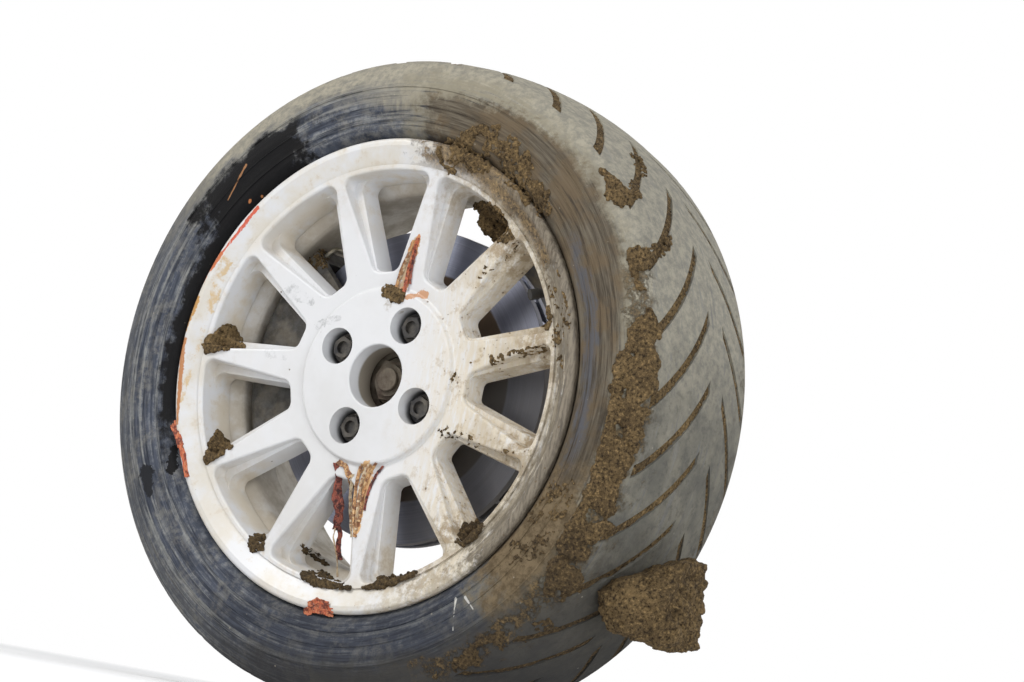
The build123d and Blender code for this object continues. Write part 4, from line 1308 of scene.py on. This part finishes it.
def make_shred(name, finishes, trees):
    """Ragged ribbon drawn along a path, thickened and crumpled"""
    path, width, finish, on_rim = shreds[name]
    eye = camera_place()
    right, up, back = photo_axes()
    hits = [seen_surface(trees, *pixel) for pixel in (path if on_rim else [shred_hook])]
    start = next(hit[0] for hit in hits if hit)
    places = []
    for x, y in path:
        ray = pixel_ray(x, y)
        found = seen_surface(trees, x, y) if on_rim else None
        if found and abs((found[0] - start).dot(back)) < 0.05:
            places.append(found[0] + back * 1.2 * mm)
        else:
            places.append(eye + ray * ((start - eye).dot(back) / ray.dot(back)) - back * 3 * mm)
    run = (places[-1] - places[0]).normalized()
    side = run.cross(back).normalized()
    shred = draw_path(name, places, -side * width * mm / 2)
    bpy.ops.mesh.extrude_region_move(TRANSFORM_OT_translate={"value": side * width * mm})
    bpy.ops.mesh.select_all(action="SELECT")
    bpy.ops.mesh.subdivide(number_cuts=4)
    bpy.ops.transform.vertex_random(offset=width * 0.11 * mm, uniform=1.0, seed=5)
    leave_edit()
    modify(shred, "SOLIDIFY", thickness=0.9 * mm, offset=0.0)
    roughen(shred, "crumbs", 1.4)
    edit(shred)
    face_outwards()
    leave_edit()
    smooth(shred, 45)
    paint(shred, finishes[finish])
    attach(shred, "wheel")


# Collars of the wheel nuts: radius and depth of the stepped outline
nut_circle_r = 54
nut_phase = 154.22
collar_outline = [
    (9.7, 39.2), (9.7, 24.6), (10.6, 24.0), (11.4, 24.6), (11.6, 27.2), (13.4, 27.6), (13.8, 28.4),
    (13.8, 39.2),
]


def make_nut_collars(material):
    """Stepped collar round each wheel nut, at the bottom of its well"""
    places = [Vector((r * mm, y * mm, 0)) for r, y in collar_outline + collar_outline[:1]]
    first = draw_path("nut_collar_1", places)
    bpy.ops.mesh.remove_doubles(threshold=1e-6)
    bpy.ops.mesh.spin(steps=40, angle=math.radians(360), center=(0, 0, 0), axis=(0, 1, 0))
    face_outwards(merged=1e-6)
    leave_edit()
    collars = [first]
    for number in (2, 3, 4):
        collar = bpy.data.objects.new(f"nut_collar_{number}", first.data.copy())
        bpy.context.collection.objects.link(collar)
        collars.append(collar)
    for count, collar in enumerate(collars):
        collar.location = wheel_point(nut_circle_r, 0, nut_phase - 90 * count)
        settle(collar)
        smooth(collar, 30)
        paint(collar, material)
        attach(collar, "wheel")


# The scene

make_world()
make_floor()
make_camera()
for name, settings in lamps.items():
    make_lamp(name, *settings)

solids = frame["nodes"]
solid_trees = surface_trees([solids["tyre"], solids["wheel_rim"]])
finishes = {
    "tyre_rubber": make_tyre_rubber(solid_trees),
    "wheel_paint": make_wheel_paint(solid_trees),
    "disc_iron": make_disc_iron(),
    "black_rubber": make_plain("black_rubber", (0.02, 0.02, 0.02), 0.8),
    "black_plastic": make_plain("black_plastic", (0.02, 0.02, 0.02), 0.5),
}
for name, look in metals.items():
    finishes[name] = make_metal(name, *look)
for name, colours in torn_colours.items():
    finishes[name] = make_torn_material(name, *colours)
for row in frame["record"]["subparts"]:
    paint(solids[row["node"]], finishes[row["material_slot"]])

tyre = make_tyre(finishes["tyre_rubber"])
dry_earth = make_dry_earth()
make_groove_mud(tyre, dry_earth)
carriers = {"tyre": tyre, "wheel_rim": solids["wheel_rim"], "caliper_outer": solids["caliper_outer"]}
crumb = make_crumb()
for patch in mud_patches:
    make_mud_patch(patch, crumb, carriers, dry_earth)
make_big_clod(crumb, dry_earth)
bpy.data.objects.remove(crumb)
shred_trees = surface_trees([solids["wheel_rim"], tyre])
for shred in shreds:
    make_shred(shred, finishes, shred_trees)
make_nut_collars(finishes["dark_steel"])
